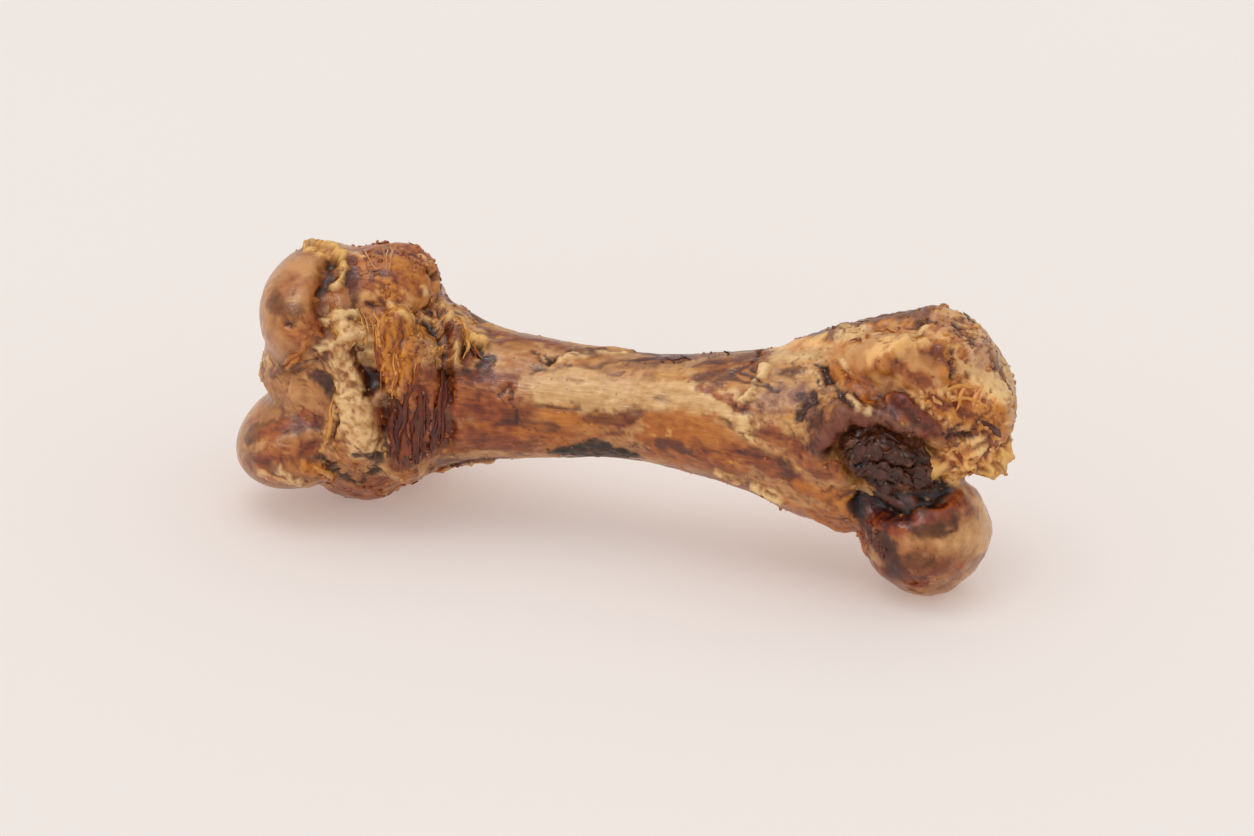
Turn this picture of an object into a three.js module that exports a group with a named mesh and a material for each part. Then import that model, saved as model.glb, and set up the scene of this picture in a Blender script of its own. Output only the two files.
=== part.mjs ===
import * as THREE from 'three';

// Cooked thigh bone of a pig (a ham bone) with dried tendon and meat left on it.
// Millimetres, +Z up. X runs along the bone, from the knee end (-X) to the hip
// end (+X). The bone lies on its inner side: it rests on the inner knuckle and on
// the hip ball, with the back of the leg, the hollow and the gristle facing -Y.
// The origin is below the middle of the whole, on the surface that it lies on.

// ---- driving dimensions -------------------------------------------------
const BONE_CELL = 3.45;        // size of the net that the bone's skin is drawn on
const WAD_CELL = 2.2;          // the same for the small wad of meat
const WAD_GAP = 0.75;          // air between the wad and the hollow that holds it
const MIDDLE = [-1.52, 2.53];  // middle of the whole in the working frame, x and y

// shaft: stations along x, each with its middle (y, z) and half widths (y, z)
const SHAFT_BLEND = 6;
const SHAFT = [
  { x: -62, y: 4, z: 34.2, wide: 24.0, tall: 27.0 },   // flares into the knee end
  { x: -50, y: 4, z: 34.4, wide: 21.0, tall: 22.4 },
  { x: -41, y: 3, z: 34.6, wide: 19.0, tall: 19.0 },
  { x: -33, y: 3, z: 34.8, wide: 17.6, tall: 17.3 },
  { x: -15, y: 2, z: 36.3, wide: 15.6, tall: 15.6 },
  { x: 0, y: 2, z: 36.9, wide: 14.6, tall: 14.5 },     // thinnest, 29 mm
  { x: 15, y: 1, z: 37.5, wide: 15.4, tall: 15.5 },
  { x: 31, y: 1, z: 37.8, wide: 17.4, tall: 18.2 },
  { x: 48, y: 1, z: 37.6, wide: 19.0, tall: 22.4 },
  { x: 60, y: 1, z: 37.2, wide: 20.0, tall: 24.6 },    // flares into the hip end
];

// oval(middle, half sizes, lean about y in degrees, width of the blend)
const oval = (at, half, lean, blend) => ({ kind: 'oval', at, half, lean, blend });
// limb(start, end, radius at the start, radius at the end, width of the blend)
const limb = (from, to, r0, r1, blend) => ({ kind: 'limb', from, to, r0, r1, blend });
const carve = (form) => ({ ...form, carved: true });

const KNEE_END = [
  oval([-74.0, 4, 34.4], [19.5, 28, 34.6], 0, 5),        // body of the knee end
  oval([-85.6, -4, 57.8], [15.8, 23, 16.8], 0, 4),       // outer condyle, the upper lobe
  oval([-89.5, -8, 21.6], [20.5, 22, 14.2], -24, 4),     // inner condyle, the lower lobe
  oval([-87.0, -4, 41.5], [15.5, 20, 12.0], 0, 5),       // web between the condyles
  oval([-80.0, 4, 14.0], [14.0, 16, 14.4], 0, 5),        // inner knuckle, rests on the ground
  oval([-69.8, 3, 64.4], [15.6, 14, 9.5], 0, 2),         // outer epicondyle, a mound on top
  limb([-86, 19, 50], [-70, 25, 49], 11, 9, 8),          // outer ridge of the kneecap groove
  limb([-86, 19, 24], [-69, 25, 18], 12, 10, 8),         // inner ridge of the kneecap groove
  carve(limb([-112, 38, 37], [-60, 42, 34], 9, 8, 6)),   // kneecap groove
  oval([-75.5, -17, 51.5], [8, 6, 10], 10, 3),           // gristle in the notch, upper lump
  oval([-69.8, -20.5, 30], [8, 6.5, 11], 8, 3),          // gristle in the notch, lower lump
  limb([-54.5, -12.5, 49], [-58, -15, 22], 6.5, 8, 4),   // strap of dried muscle
  limb([-61, -12, 58], [-60, -15, 44], 5, 5, 4),         // torn tendon above the strap
  carve(limb([-102, -21.5, 41], [-84, -29, 44], 3.6, 4.4, 5)),      // cleft between condyles
  carve(limb([-78, -31, 24], [-79.5, -28.5, 42], 3.6, 4.2, 4)),     // groove, inner condyle
  carve(limb([-79.5, -9, 77.5], [-75.5, -27.5, 60], 3.6, 4.2, 4)),  // groove, outer condyle
];

const HIP_END = [
  oval([83.5, 7, 51.5], [19.5, 19, 20], 0, 6),           // greater trochanter
  oval([95.5, 3, 47], [10.5, 12, 13.5], 0, 4),           // its bared spongy end
  oval([93, -3, 38], [8, 8, 6], 0, 4),                   // lip of spongy bone above the ball
  oval([70, 4, 55], [20, 14, 12], -8, 6),                // shoulder of the trochanter
  oval([76, -4, 61], [13, 9, 9], 0, 4),                  // mound of gristle on the shoulder
  limb([50, 6, 56.5], [80, 8, 66], 5, 6, 5),             // tendon along the top edge
  limb([56, 2, 31.5], [80, -5, 24], 18, 12, 6),          // neck
  oval([85.6, -8, 16.6], [17, 17, 17], 0, 3),            // ball of the hip joint
  limb([56, -14, 42], [66, -14.5, 51], 4.5, 4.5, 4),     // arched rim over the hollow
  limb([66, -14.5, 51], [79, -13, 52], 4.5, 4.5, 4),
  limb([79, -13, 52], [90, -10.5, 46], 4.5, 4, 4),
  carve(oval([75.5, -19, 40], [14.5, 13, 10], 18, 3)),   // hollow between ball and trochanter
  carve(oval([86.5, -20, 34.5], [10, 9, 4.6], 4, 3)),    // its dark outlet above the ball
];

// wad of dark dried meat lodged in the hollow: a lump with folds across it
const MEAT_WAD = [
  oval([75.0, -12.4, 38.8], [12.2, 6.8, 8.6], 14, 3),
  limb([66, -15.6, 42.5], [76, -17.4, 44.5], 2.2, 2.6, 2),
  limb([69, -17.8, 38.5], [82, -17.2, 41], 2.4, 2.6, 2),
  limb([76, -17.6, 33.5], [86, -14.6, 36.5], 2.4, 2.2, 2),
];

// ---- distance fields ------------------------------------------------------
const RAD = Math.PI / 180;

function ovalField(f) {
  const c = Math.cos(f.lean * RAD), s = Math.sin(f.lean * RAD);
  const [a, b, d] = f.half;
  return (x, y, z) => {
    const dx = x - f.at[0], dy = y - f.at[1], dz = z - f.at[2];
    const u = (c * dx - s * dz) / a, v = dy / b, w = (s * dx + c * dz) / d;
    const k0 = Math.hypot(u, v, w);
    return k0 * (k0 - 1) / (Math.hypot(u / a, v / b, w / d) + 1e-9);
  };
}

function limbField(f) {            // a cone with round ends
  const A = f.from, B = f.to;
  const bx = B[0] - A[0], by = B[1] - A[1], bz = B[2] - A[2];
  const l2 = bx * bx + by * by + bz * bz, rr = f.r0 - f.r1;
  const a2 = l2 - rr * rr, il2 = 1 / l2;
  return (px, py, pz) => {
    const x = px - A[0], y = py - A[1], z = pz - A[2];
    const h = x * bx + y * by + z * bz, q = h - l2;
    const vx = x * l2 - bx * h, vy = y * l2 - by * h, vz = z * l2 - bz * h;
    const x2 = vx * vx + vy * vy + vz * vz;
    const y2 = h * h * l2, z2 = q * q * l2, k = Math.sign(rr) * rr * rr * x2;
    if (Math.sign(q) * a2 * z2 > k) return Math.sqrt(x2 + z2) * il2 - f.r1;
    if (Math.sign(h) * a2 * y2 < k) return Math.sqrt(x2 + y2) * il2 - f.r0;
    return (Math.sqrt(x2 * a2 * il2) + h * rr) * il2 - f.r0;
  };
}

function shaftField(stations) {    // an oval tube whose middle and width change smoothly
  const keys = ['y', 'z', 'wide', 'tall'], n = stations.length;
  const slope = stations.map((_, i) => {
    const p = stations[Math.max(i - 1, 0)], q = stations[Math.min(i + 1, n - 1)];
    return Object.fromEntries(keys.map((k) => [k, (q[k] - p[k]) / (q.x - p.x)]));
  });
  const first = stations[0].x, last = stations[n - 1].x;
  return (x, y, z) => {
    const xi = Math.min(Math.max(x, first), last - 1e-6);
    let i = 0;
    while (i < n - 2 && stations[i + 1].x <= xi) i += 1;
    const p = stations[i], q = stations[i + 1], h = q.x - p.x, u = (xi - p.x) / h;
    const u2 = u * u, u3 = u2 * u;
    const at = (k) => (2 * u3 - 3 * u2 + 1) * p[k] + (u3 - 2 * u2 + u) * h * slope[i][k]
      + (3 * u2 - 2 * u3) * q[k] + (u3 - u2) * h * slope[i + 1][k];
    const a = at('wide'), b = at('tall');
    const dy = (y - at('y')) / a, dz = (z - at('z')) / b;
    const ex = Math.max(first - x, x - last, 0) / b;
    const k0 = Math.hypot(dy, dz, ex);
    return k0 * (k0 - 1) / (Math.hypot(dy / a, dz / b, ex / b) + 1e-9);
  };
}

const blendMin = (a, b, k) => {
  const h = Math.max(k - Math.abs(a - b), 0) / k;
  return Math.min(a, b) - h * h * k * 0.25;
};

function joined(forms, start) {
  const fields = forms.map((f) => (f.kind === 'oval' ? ovalField(f) : limbField(f)));
  return (x, y, z) => {
    let d = start ? start(x, y, z) : 1e3;
    forms.forEach((f, i) => {
      const e = fields[i](x, y, z);
      d = f.carved ? -blendMin(-d, e, f.blend) : blendMin(d, e, f.blend);
    });
    return d;
  };
}

const boneField = joined([...KNEE_END, ...HIP_END], shaftField(SHAFT));
const wadShape = joined(MEAT_WAD);
const wadField = (x, y, z) => Math.max(wadShape(x, y, z), WAD_GAP - boneField(x, y, z));

// ---- skin: a closed net of triangles drawn over a field ---------------------
function skin(field, low, high, cell, { ground = -Infinity, easing = 3 } = {}) {
  const n = low.map((l, i) => Math.ceil((high[i] - l) / cell) + 1);
  const id = (i, j, k) => (i * n[1] + j) * n[2] + k;
  const value = new Float64Array(n[0] * n[1] * n[2]);
  for (let i = 0; i < n[0]; i += 1)
    for (let j = 0; j < n[1]; j += 1)
      for (let k = 0; k < n[2]; k += 1)
        value[id(i, j, k)] = field(low[0] + i * cell, low[1] + j * cell, low[2] + k * cell);

  // one vertex in each cell that the surface passes through
  const vertexOf = new Map(), points = [];
  const corners = [];
  for (let c = 0; c < 8; c += 1) corners.push([c & 1, (c >> 1) & 1, (c >> 2) & 1]);
  for (let i = 0; i < n[0] - 1; i += 1)
    for (let j = 0; j < n[1] - 1; j += 1)
      for (let k = 0; k < n[2] - 1; k += 1) {
        const v = corners.map(([a, b, c]) => value[id(i + a, j + b, k + c)]);
        const inside = v.filter((q) => q < 0).length;
        if (inside === 0 || inside === 8) continue;
        const sum = [0, 0, 0];
        let count = 0;
        for (let a = 0; a < 8; a += 1)
          for (const axis of [1, 2, 4]) {
            const b = a | axis;
            if (b === a || (v[a] < 0) === (v[b] < 0)) continue;
            const t = v[a] / (v[a] - v[b]);
            for (let m = 0; m < 3; m += 1)
              sum[m] += corners[a][m] + t * (corners[b][m] - corners[a][m]);
            count += 1;
          }
        vertexOf.set(id(i, j, k), points.length);
        points.push([i, j, k].map((g, m) => low[m] + cell * (g + sum[m] / count)));
      }

  // four cells round each grid edge that the surface crosses make a quad
  const quads = [];
  for (let i = 1; i < n[0] - 1; i += 1)
    for (let j = 1; j < n[1] - 1; j += 1)
      for (let k = 1; k < n[2] - 1; k += 1) {
        const here = value[id(i, j, k)] < 0;
        const step = [[1, 0, 0], [0, 1, 0], [0, 0, 1]];
        for (let axis = 0; axis < 3; axis += 1) {
          const [a, b, c] = step[axis];
          if (here === (value[id(i + a, j + b, k + c)] < 0)) continue;
          const u = step[(axis + 1) % 3], w = step[(axis + 2) % 3];
          const cellAt = (s, t) => vertexOf.get(id(i - s * u[0] - t * w[0],
            j - s * u[1] - t * w[1], k - s * u[2] - t * w[2]));
          const q = [cellAt(0, 0), cellAt(1, 0), cellAt(1, 1), cellAt(0, 1)];
          quads.push(here ? q : q.reverse());
        }
      }

  // settle the vertices on the field, easing them apart along the surface
  const settle = (p) => {
    for (let pass = 0; pass < 4; pass += 1) {
      const e = 0.05, f = field(...p);
      const g = [0, 1, 2].map((m) => {
        const a = [...p], b = [...p];
        a[m] += e; b[m] -= e;
        return (field(...a) - field(...b)) / (2 * e);
      });
      const g2 = g[0] ** 2 + g[1] ** 2 + g[2] ** 2 + 1e-6;
      const t = Math.max(-cell / 2, Math.min(cell / 2, f / g2 * 0.9));
      for (let m = 0; m < 3; m += 1) p[m] -= t * g[m];
    }
  };
  const near = points.map(() => new Set());
  for (const q of quads)
    for (let m = 0; m < 4; m += 1) {
      near[q[m]].add(q[(m + 1) % 4]);
      near[q[(m + 1) % 4]].add(q[m]);
    }
  points.forEach(settle);
  for (let pass = 0; pass < easing; pass += 1) {
    const eased = points.map((p, i) => {
      const mean = [0, 0, 0];
      for (const j of near[i]) for (let m = 0; m < 3; m += 1) mean[m] += points[j][m] / near[i].size;
      return p.map((c, m) => c + 0.5 * (mean[m] - c));
    });
    eased.forEach((p, i) => { points[i] = p; });
    points.forEach(settle);
  }
  for (const p of points) p[2] = Math.max(p[2], ground);   // flat spots where it rests

  const distance = (a, b) => Math.hypot(...points[a].map((c, m) => c - points[b][m]));
  const index = [];
  for (const [a, b, c, d] of quads)
    if (distance(a, c) <= distance(b, d)) index.push(a, b, c, a, c, d);
    else index.push(a, b, d, b, c, d);
  const geometry = new THREE.BufferGeometry();
  const position = new Float32Array(points.flatMap(([x, y, z]) => [x - MIDDLE[0], y - MIDDLE[1], z]));
  geometry.setAttribute('position', new THREE.BufferAttribute(position, 3));
  geometry.setIndex(index);
  geometry.computeVertexNormals();
  return geometry;
}

// ---- the object -------------------------------------------------------------
const group = new THREE.Group();

const bone = new THREE.Mesh(
  skin(boneField, [-118.4, -40.6, -6.9], [116, 44, 86], BONE_CELL, { ground: 0 }),
  new THREE.MeshStandardMaterial({ color: 0xb98a58, roughness: 0.5, metalness: 0 }),
);
bone.name = 'thigh_bone';
group.add(bone);

const wad = new THREE.Mesh(
  skin(wadField, [56, -34, 22], [96, 4, 60], WAD_CELL),
  new THREE.MeshStandardMaterial({ color: 0x4a2a22, roughness: 0.42, metalness: 0 }),
);
wad.name = 'meat_wad';
group.add(wad);

export default group;
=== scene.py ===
import math
import bpy
import numpy as np
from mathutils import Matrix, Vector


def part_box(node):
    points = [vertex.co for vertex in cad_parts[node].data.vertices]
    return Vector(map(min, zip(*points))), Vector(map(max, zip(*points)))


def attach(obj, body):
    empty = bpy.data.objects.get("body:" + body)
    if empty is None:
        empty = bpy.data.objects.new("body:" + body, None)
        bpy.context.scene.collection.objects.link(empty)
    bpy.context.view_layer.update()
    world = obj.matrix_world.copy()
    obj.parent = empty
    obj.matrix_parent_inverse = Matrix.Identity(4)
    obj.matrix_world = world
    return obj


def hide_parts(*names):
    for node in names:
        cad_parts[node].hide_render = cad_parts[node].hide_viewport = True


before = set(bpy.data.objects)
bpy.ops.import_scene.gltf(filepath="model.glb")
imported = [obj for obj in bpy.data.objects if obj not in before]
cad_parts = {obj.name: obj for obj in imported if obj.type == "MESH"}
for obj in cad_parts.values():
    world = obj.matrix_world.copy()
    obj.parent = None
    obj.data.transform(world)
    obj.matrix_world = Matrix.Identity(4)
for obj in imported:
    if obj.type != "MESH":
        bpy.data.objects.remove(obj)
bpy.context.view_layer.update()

# Everything below is worked out in millimetres in the working frame of the CAD
# model; MIDDLE is the middle of the whole in that frame, so a point goes to the
# row frame by taking MIDDLE off and dividing by 1000.
MIDDLE = np.array([-1.52, 2.53, 0.0])
BONE_CELL = 0.75


# ---- noise -------------------------------------------------------------------
def _hash(x, y, z, seed):
    m = np.uint32(0xFFFFFFFF)
    with np.errstate(over="ignore"):
        h = ((x & 0xFFFFFFFF).astype(np.uint32) * np.uint32(374761393)
             + (y & 0xFFFFFFFF).astype(np.uint32) * np.uint32(668265263)
             + (z & 0xFFFFFFFF).astype(np.uint32) * np.uint32(2246822519)
             + np.uint32((seed * 7919 + 13) & 0xFFFFFFFF) * np.uint32(3266489917)) & m
        h = (h ^ (h >> np.uint32(15))) * np.uint32(2246822519)
        h = (h ^ (h >> np.uint32(13))) * np.uint32(3266489917)
        return h ^ (h >> np.uint32(16))


def noise(P, seed=0):
    """Gradient noise, about -1 to 1."""
    P = np.asarray(P, float)
    I = np.floor(P).astype(np.int64)
    F = P - I
    U = F * F * F * (F * (F * 6 - 15) + 10)
    out = np.zeros(len(P))
    for dx in (0, 1):
        wx = U[:, 0] if dx else 1 - U[:, 0]
        for dy in (0, 1):
            wy = U[:, 1] if dy else 1 - U[:, 1]
            for dz in (0, 1):
                wz = U[:, 2] if dz else 1 - U[:, 2]
                h = _hash(I[:, 0] + dx, I[:, 1] + dy, I[:, 2] + dz, seed)
                gx = (h & np.uint32(1023)).astype(float) / 511.5 - 1
                gy = ((h >> np.uint32(10)) & np.uint32(1023)).astype(float) / 511.5 - 1
                gz = ((h >> np.uint32(20)) & np.uint32(1023)).astype(float) / 511.5 - 1
                out += wx * wy * wz * (gx * (F[:, 0] - dx) + gy * (F[:, 1] - dy) + gz * (F[:, 2] - dz))
    return out * 1.5


def fbm(P, octaves=4, seed=0, gain=0.5):
    out, a, t, k = 0.0, 1.0, 0.0, 1.0
    for i in range(octaves):
        out = out + a * noise(P * k, seed + i * 17)
        t += a
        a *= gain
        k *= 2.03
    return out / t


def ridge(P, octaves=3, seed=0, gain=0.5):
    """0 to 1, with sharp crests at 1."""
    out, a, t, k = 0.0, 1.0, 0.0, 1.0
    for i in range(octaves):
        out = out + a * (1 - np.minimum(np.abs(noise(P * k, seed + i * 17)) * 1.6, 1))
        t += a
        a *= gain
        k *= 2.03
    return out / t


def cells(P, seed=0):
    """Distances to the nearest and next nearest of scattered points, and the nearest one's number."""
    I = np.floor(P).astype(np.int64)
    F = P - I
    d1 = np.full(len(P), 9.0)
    d2 = np.full(len(P), 9.0)
    who = np.zeros(len(P))
    for dx in (-1, 0, 1):
        for dy in (-1, 0, 1):
            for dz in (-1, 0, 1):
                h = _hash(I[:, 0] + dx, I[:, 1] + dy, I[:, 2] + dz, seed)
                px = dx + (h & np.uint32(1023)).astype(float) / 1023
                py = dy + ((h >> np.uint32(10)) & np.uint32(1023)).astype(float) / 1023
                pz = dz + ((h >> np.uint32(20)) & np.uint32(1023)).astype(float) / 1023
                d = np.sqrt((px - F[:, 0]) ** 2 + (py - F[:, 1]) ** 2 + (pz - F[:, 2]) ** 2)
                nearer = d < d1
                d2 = np.where(nearer, d1, np.minimum(d2, d))
                who = np.where(nearer, (h >> np.uint32(7)).astype(float) % 1000 / 1000, who)
                d1 = np.where(nearer, d, d1)
    return d1, d2, who


def smooth(x, a, b):
    t = np.clip((x - a) / (b - a), 0, 1)
    return t * t * (3 - 2 * t)


# ---- the forms, as in the CAD model --------------------------------------------
SHAFT = [
    # x, middle y and z, half widths in y and z
    (-62, 4, 34.2, 24.0, 27.0), (-50, 4, 34.4, 21.0, 22.4), (-41, 3, 34.6, 19.0, 19.0),
    (-33, 3, 34.8, 17.6, 17.3), (-15, 2, 36.3, 15.6, 15.6), (0, 2, 36.9, 14.6, 14.5),
    (15, 1, 37.5, 15.4, 15.5), (31, 1, 37.8, 17.4, 18.2), (48, 1, 37.6, 19.0, 22.4),
    (60, 1, 37.2, 20.0, 24.6),
]


def oval(at, half, lean, blend, carved=False):
    return ("oval", np.array(at, float), np.array(half, float), lean, blend, carved)


def limb(a, b, r0, r1, blend, carved=False):
    return ("limb", np.array(a, float), np.array(b, float), r0, r1, blend, carved)


KNEE_END = [
    oval([-74.0, 4, 34.4], [19.5, 28, 34.6], 0, 5),
    oval([-85.6, -4, 57.8], [15.8, 23, 16.8], 0, 4),
    oval([-89.5, -8, 21.6], [20.5, 22, 14.2], -24, 4),
    oval([-87.0, -4, 41.5], [15.5, 20, 12.0], 0, 5),
    oval([-80.0, 4, 14.0], [14.0, 16, 14.4], 0, 5),
    oval([-69.8, 3, 64.4], [15.6, 14, 9.5], 0, 2),
    limb([-86, 19, 50], [-70, 25, 49], 11, 9, 8),
    limb([-86, 19, 24], [-71, 22, 12.6], 12, 12.4, 8),
    limb([-112, 38, 37], [-60, 42, 34], 9, 8, 6, True),
    oval([-75.5, -17, 51.5], [8, 6, 10], 10, 3),
    oval([-69.8, -20.5, 30], [8, 6.5, 11], 8, 3),
    limb([-54.5, -12.5, 49], [-58, -15, 22], 6.5, 8, 4),
    limb([-61, -12, 58], [-60, -15, 44], 5, 5, 4),
    limb([-102, -21.5, 41], [-84, -29, 44], 3.6, 4.4, 5, True),
    limb([-78, -31, 24], [-79.5, -28.5, 42], 3.6, 4.2, 4, True),
    limb([-79.5, -9, 77.5], [-75.5, -27.5, 60], 3.6, 4.2, 4, True),
]
HIP_END = [
    oval([83.5, 7, 51.5], [19.5, 19, 20], 0, 6),
    oval([95.5, 3, 47], [10.5, 12, 13.5], 0, 4),
    oval([93, -3, 38], [8, 8, 6], 0, 4),
    oval([70, 4, 55], [20, 14, 12], -8, 6),
    oval([76, -4, 61], [13, 9, 9], 0, 4),
    limb([50, 6, 56.5], [80, 8, 66], 5, 6, 5),
    limb([56, 2, 31.5], [80, -5, 24], 18, 12, 6),
    oval([85.6, -8, 16.6], [17, 17, 17], 0, 3),
    limb([56, -14, 42], [66, -14.5, 51], 4.5, 4.5, 4),
    limb([66, -14.5, 51], [79, -13, 52], 4.5, 4.5, 4),
    limb([79, -13, 52], [90, -10.5, 46], 4.5, 4, 4),
    oval([75.5, -19, 40], [14.5, 13, 10], 18, 3, True),
    oval([86.5, -20, 34.5], [10, 9, 4.6], 4, 3, True),
]
MEAT_WAD = [
    oval([75.0, -12.4, 38.8], [12.2, 6.8, 8.6], 14, 3),
    limb([66, -15.6, 42.5], [76, -17.4, 44.5], 2.2, 2.6, 2),
    limb([69, -17.8, 38.5], [82, -17.2, 41], 2.4, 2.6, 2),
    limb([76, -17.6, 33.5], [86, -14.6, 36.5], 2.4, 2.2, 2),
]


def oval_field(P, f):
    _, at, half, lean, _, _ = f
    c, s = math.cos(math.radians(lean)), math.sin(math.radians(lean))
    D = P - at
    q = np.stack([c * D[..., 0] - s * D[..., 2], D[..., 1], s * D[..., 0] + c * D[..., 2]], -1) / half
    k0 = np.sqrt((q * q).sum(-1))
    return k0 * (k0 - 1) / (np.sqrt(((q / half) ** 2).sum(-1)) + 1e-9)


def limb_field(P, f):
    _, a, b, ra, rb, _, _ = f
    ba = b - a
    l2 = ba @ ba
    rr = ra - rb
    a2, il2 = l2 - rr * rr, 1 / l2
    pa = P - a
    y = pa @ ba
    z = y - l2
    v = pa * l2 - ba * y[..., None]
    x2 = (v * v).sum(-1)
    y2, z2 = y * y * l2, z * z * l2
    k = np.sign(rr) * rr * rr * x2
    return np.where(np.sign(z) * a2 * z2 > k, np.sqrt(x2 + z2) * il2 - rb,
                    np.where(np.sign(y) * a2 * y2 < k, np.sqrt(x2 + y2) * il2 - ra,
                             (np.sqrt(x2 * a2 * il2) + y * rr) * il2 - ra))


def shaft_field(P):
    K = np.array(SHAFT, float)
    n = len(K)
    x = P[..., 0]
    xi = np.clip(x, K[0, 0], K[-1, 0] - 1e-6)
    i = np.clip(np.searchsorted(K[:, 0], xi, side="right") - 1, 0, n - 2)
    h = K[i + 1, 0] - K[i, 0]
    u = (xi - K[i, 0]) / h
    T = np.zeros_like(K)
    T[1:-1] = (K[2:] - K[:-2]) / (K[2:, 0] - K[:-2, 0])[:, None]
    T[0] = (K[1] - K[0]) / (K[1, 0] - K[0, 0])
    T[-1] = (K[-1] - K[-2]) / (K[-1, 0] - K[-2, 0])
    u2, u3 = u * u, u * u * u

    def at(c):
        return ((2 * u3 - 3 * u2 + 1) * K[i, c] + (u3 - 2 * u2 + u) * h * T[i, c]
                + (-2 * u3 + 3 * u2) * K[i + 1, c] + (u3 - u2) * h * T[i + 1, c])
    cy, cz, ry, rz = at(1), at(2), at(3), at(4)
    dy, dz = (P[..., 1] - cy) / ry, (P[..., 2] - cz) / rz
    ex = np.maximum(np.maximum(K[0, 0] - x, x - K[-1, 0]), 0) / rz
    q = np.sqrt(dy ** 2 + dz ** 2 + ex ** 2)
    return q * (q - 1) / (np.sqrt((dy / ry) ** 2 + (dz / rz) ** 2 + (ex / rz) ** 2) + 1e-9)


def smin(a, b, k):
    h = np.maximum(k - np.abs(a - b), 0) / k
    return np.minimum(a, b) - h * h * k * 0.25


def reach(f, more=7.0):
    """The box outside which a form changes nothing near the surface."""
    if f[0] == "oval":
        r = float(max(f[2][0], f[2][2])) if f[3] else None
        half = np.array([r, f[2][1], r]) if r else f[2]
        return f[1] - half - more, f[1] + half + more
    lo = np.minimum(f[1] - f[3], f[2] - f[4]) - more
    hi = np.maximum(f[1] + f[3], f[2] + f[4]) + more
    return lo, hi


def combine(P, forms, start):
    """Field at scattered points."""
    d = start(P) if start else np.full(P.shape[:-1], 50.0)
    for f in forms:
        lo, hi = reach(f)
        m = np.all((P > lo) & (P < hi), -1)
        if not m.any():
            continue
        Q = P[m]
        e = oval_field(Q, f) if f[0] == "oval" else limb_field(Q, f)
        d[m] = -smin(-d[m], e, f[-2]) if f[-1] else smin(d[m], e, f[-2])
    return d


def combine_grid(axes, forms, start):
    """The same on a grid, each form only over the box that it reaches."""
    X, Y, Z = np.meshgrid(*axes, indexing="ij")
    P = np.stack([X, Y, Z], -1)
    d = np.full(X.shape, 50.0)
    if start:
        d = start(P)
    for f in forms:
        lo, hi = reach(f)
        sl = tuple(slice(int(np.searchsorted(axes[m], lo[m])), int(np.searchsorted(axes[m], hi[m]))) for m in range(3))
        Q = P[sl]
        if Q.size == 0:
            continue
        e = oval_field(Q, f) if f[0] == "oval" else limb_field(Q, f)
        d[sl] = -smin(-d[sl], e, f[-2]) if f[-1] else smin(d[sl], e, f[-2])
    return d


def gradient(field, P, e=0.04):
    G = np.stack([field(P + np.array(v) * e) - field(P - np.array(v) * e)
                  for v in ((1, 0, 0), (0, 1, 0), (0, 0, 1))], -1) / (2 * e)
    return G


def net(F, low, cell):
    """A closed net of quads over the zero surface of a grid of values."""
    s = F < 0
    n = F.shape
    cut = np.zeros(tuple(v - 1 for v in n), np.int8)
    for a in (0, 1):
        for b in (0, 1):
            for c in (0, 1):
                cut += s[a:n[0] - 1 + a, b:n[1] - 1 + b, c:n[2] - 1 + c]
    idx = np.argwhere((cut > 0) & (cut < 8))
    vid = np.full(cut.shape, -1, np.int64)
    vid[tuple(idx.T)] = np.arange(len(idx))
    total = np.zeros((len(idx), 3))
    count = np.zeros(len(idx))
    corner = [np.array([c & 1, (c >> 1) & 1, (c >> 2) & 1]) for c in range(8)]
    V = [F[tuple((idx + c).T)] for c in corner]
    for a in range(8):
        for ax in (1, 2, 4):
            b = a | ax
            if b == a:
                continue
            m = (V[a] < 0) != (V[b] < 0)
            t = np.where(m, V[a] / np.where(m, V[a] - V[b], 1), 0)
            total[m] += (corner[a] + t[:, None] * (corner[b] - corner[a]))[m]
            count += m
    pts = low + cell * (idx + total / count[:, None])
    quads = []
    for ax in range(3):
        u, w = (ax + 1) % 3, (ax + 2) % 3
        hi = [slice(1, n[k] - 1) for k in range(3)]
        lo2 = list(hi)
        lo2[ax] = slice(2, n[ax])
        A, B = s[tuple(hi)], s[tuple(lo2)]
        e = np.argwhere(A != B) + 1
        inside = s[tuple(e.T)]
        eu, ew = np.eye(3, dtype=int)[u], np.eye(3, dtype=int)[w]
        q = np.stack([vid[tuple(e.T)], vid[tuple((e - eu).T)], vid[tuple((e - eu - ew).T)], vid[tuple((e - ew).T)]], 1)
        q[~inside] = q[~inside][:, ::-1]
        quads.append(q)
    return pts, np.concatenate(quads)


def adjacency(Q):
    E = np.concatenate([Q[:, [0, 1]], Q[:, [1, 2]], Q[:, [2, 3]], Q[:, [3, 0]]])
    return np.unique(np.sort(E, 1), axis=0)


def spread(V, E, n):
    """Mean of each value's neighbours."""
    out = np.zeros_like(V)
    cnt = np.zeros(n)
    np.add.at(cnt, E[:, 0], 1)
    np.add.at(cnt, E[:, 1], 1)
    if V.ndim == 1:
        out = np.bincount(E[:, 0], V[E[:, 1]], n) + np.bincount(E[:, 1], V[E[:, 0]], n)
        return out / np.maximum(cnt, 1)
    for k in range(V.shape[1]):
        out[:, k] = np.bincount(E[:, 0], V[E[:, 1], k], n) + np.bincount(E[:, 1], V[E[:, 0], k], n)
    return out / np.maximum(cnt, 1)[:, None]


def settle(field, P, passes=2):
    for _ in range(passes):
        G = gradient(field, P)
        f = field(P)
        t = f / ((G * G).sum(-1) + 1e-6)
        P = P - np.clip(t, -1.5, 1.5)[:, None] * G
    return P


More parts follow.
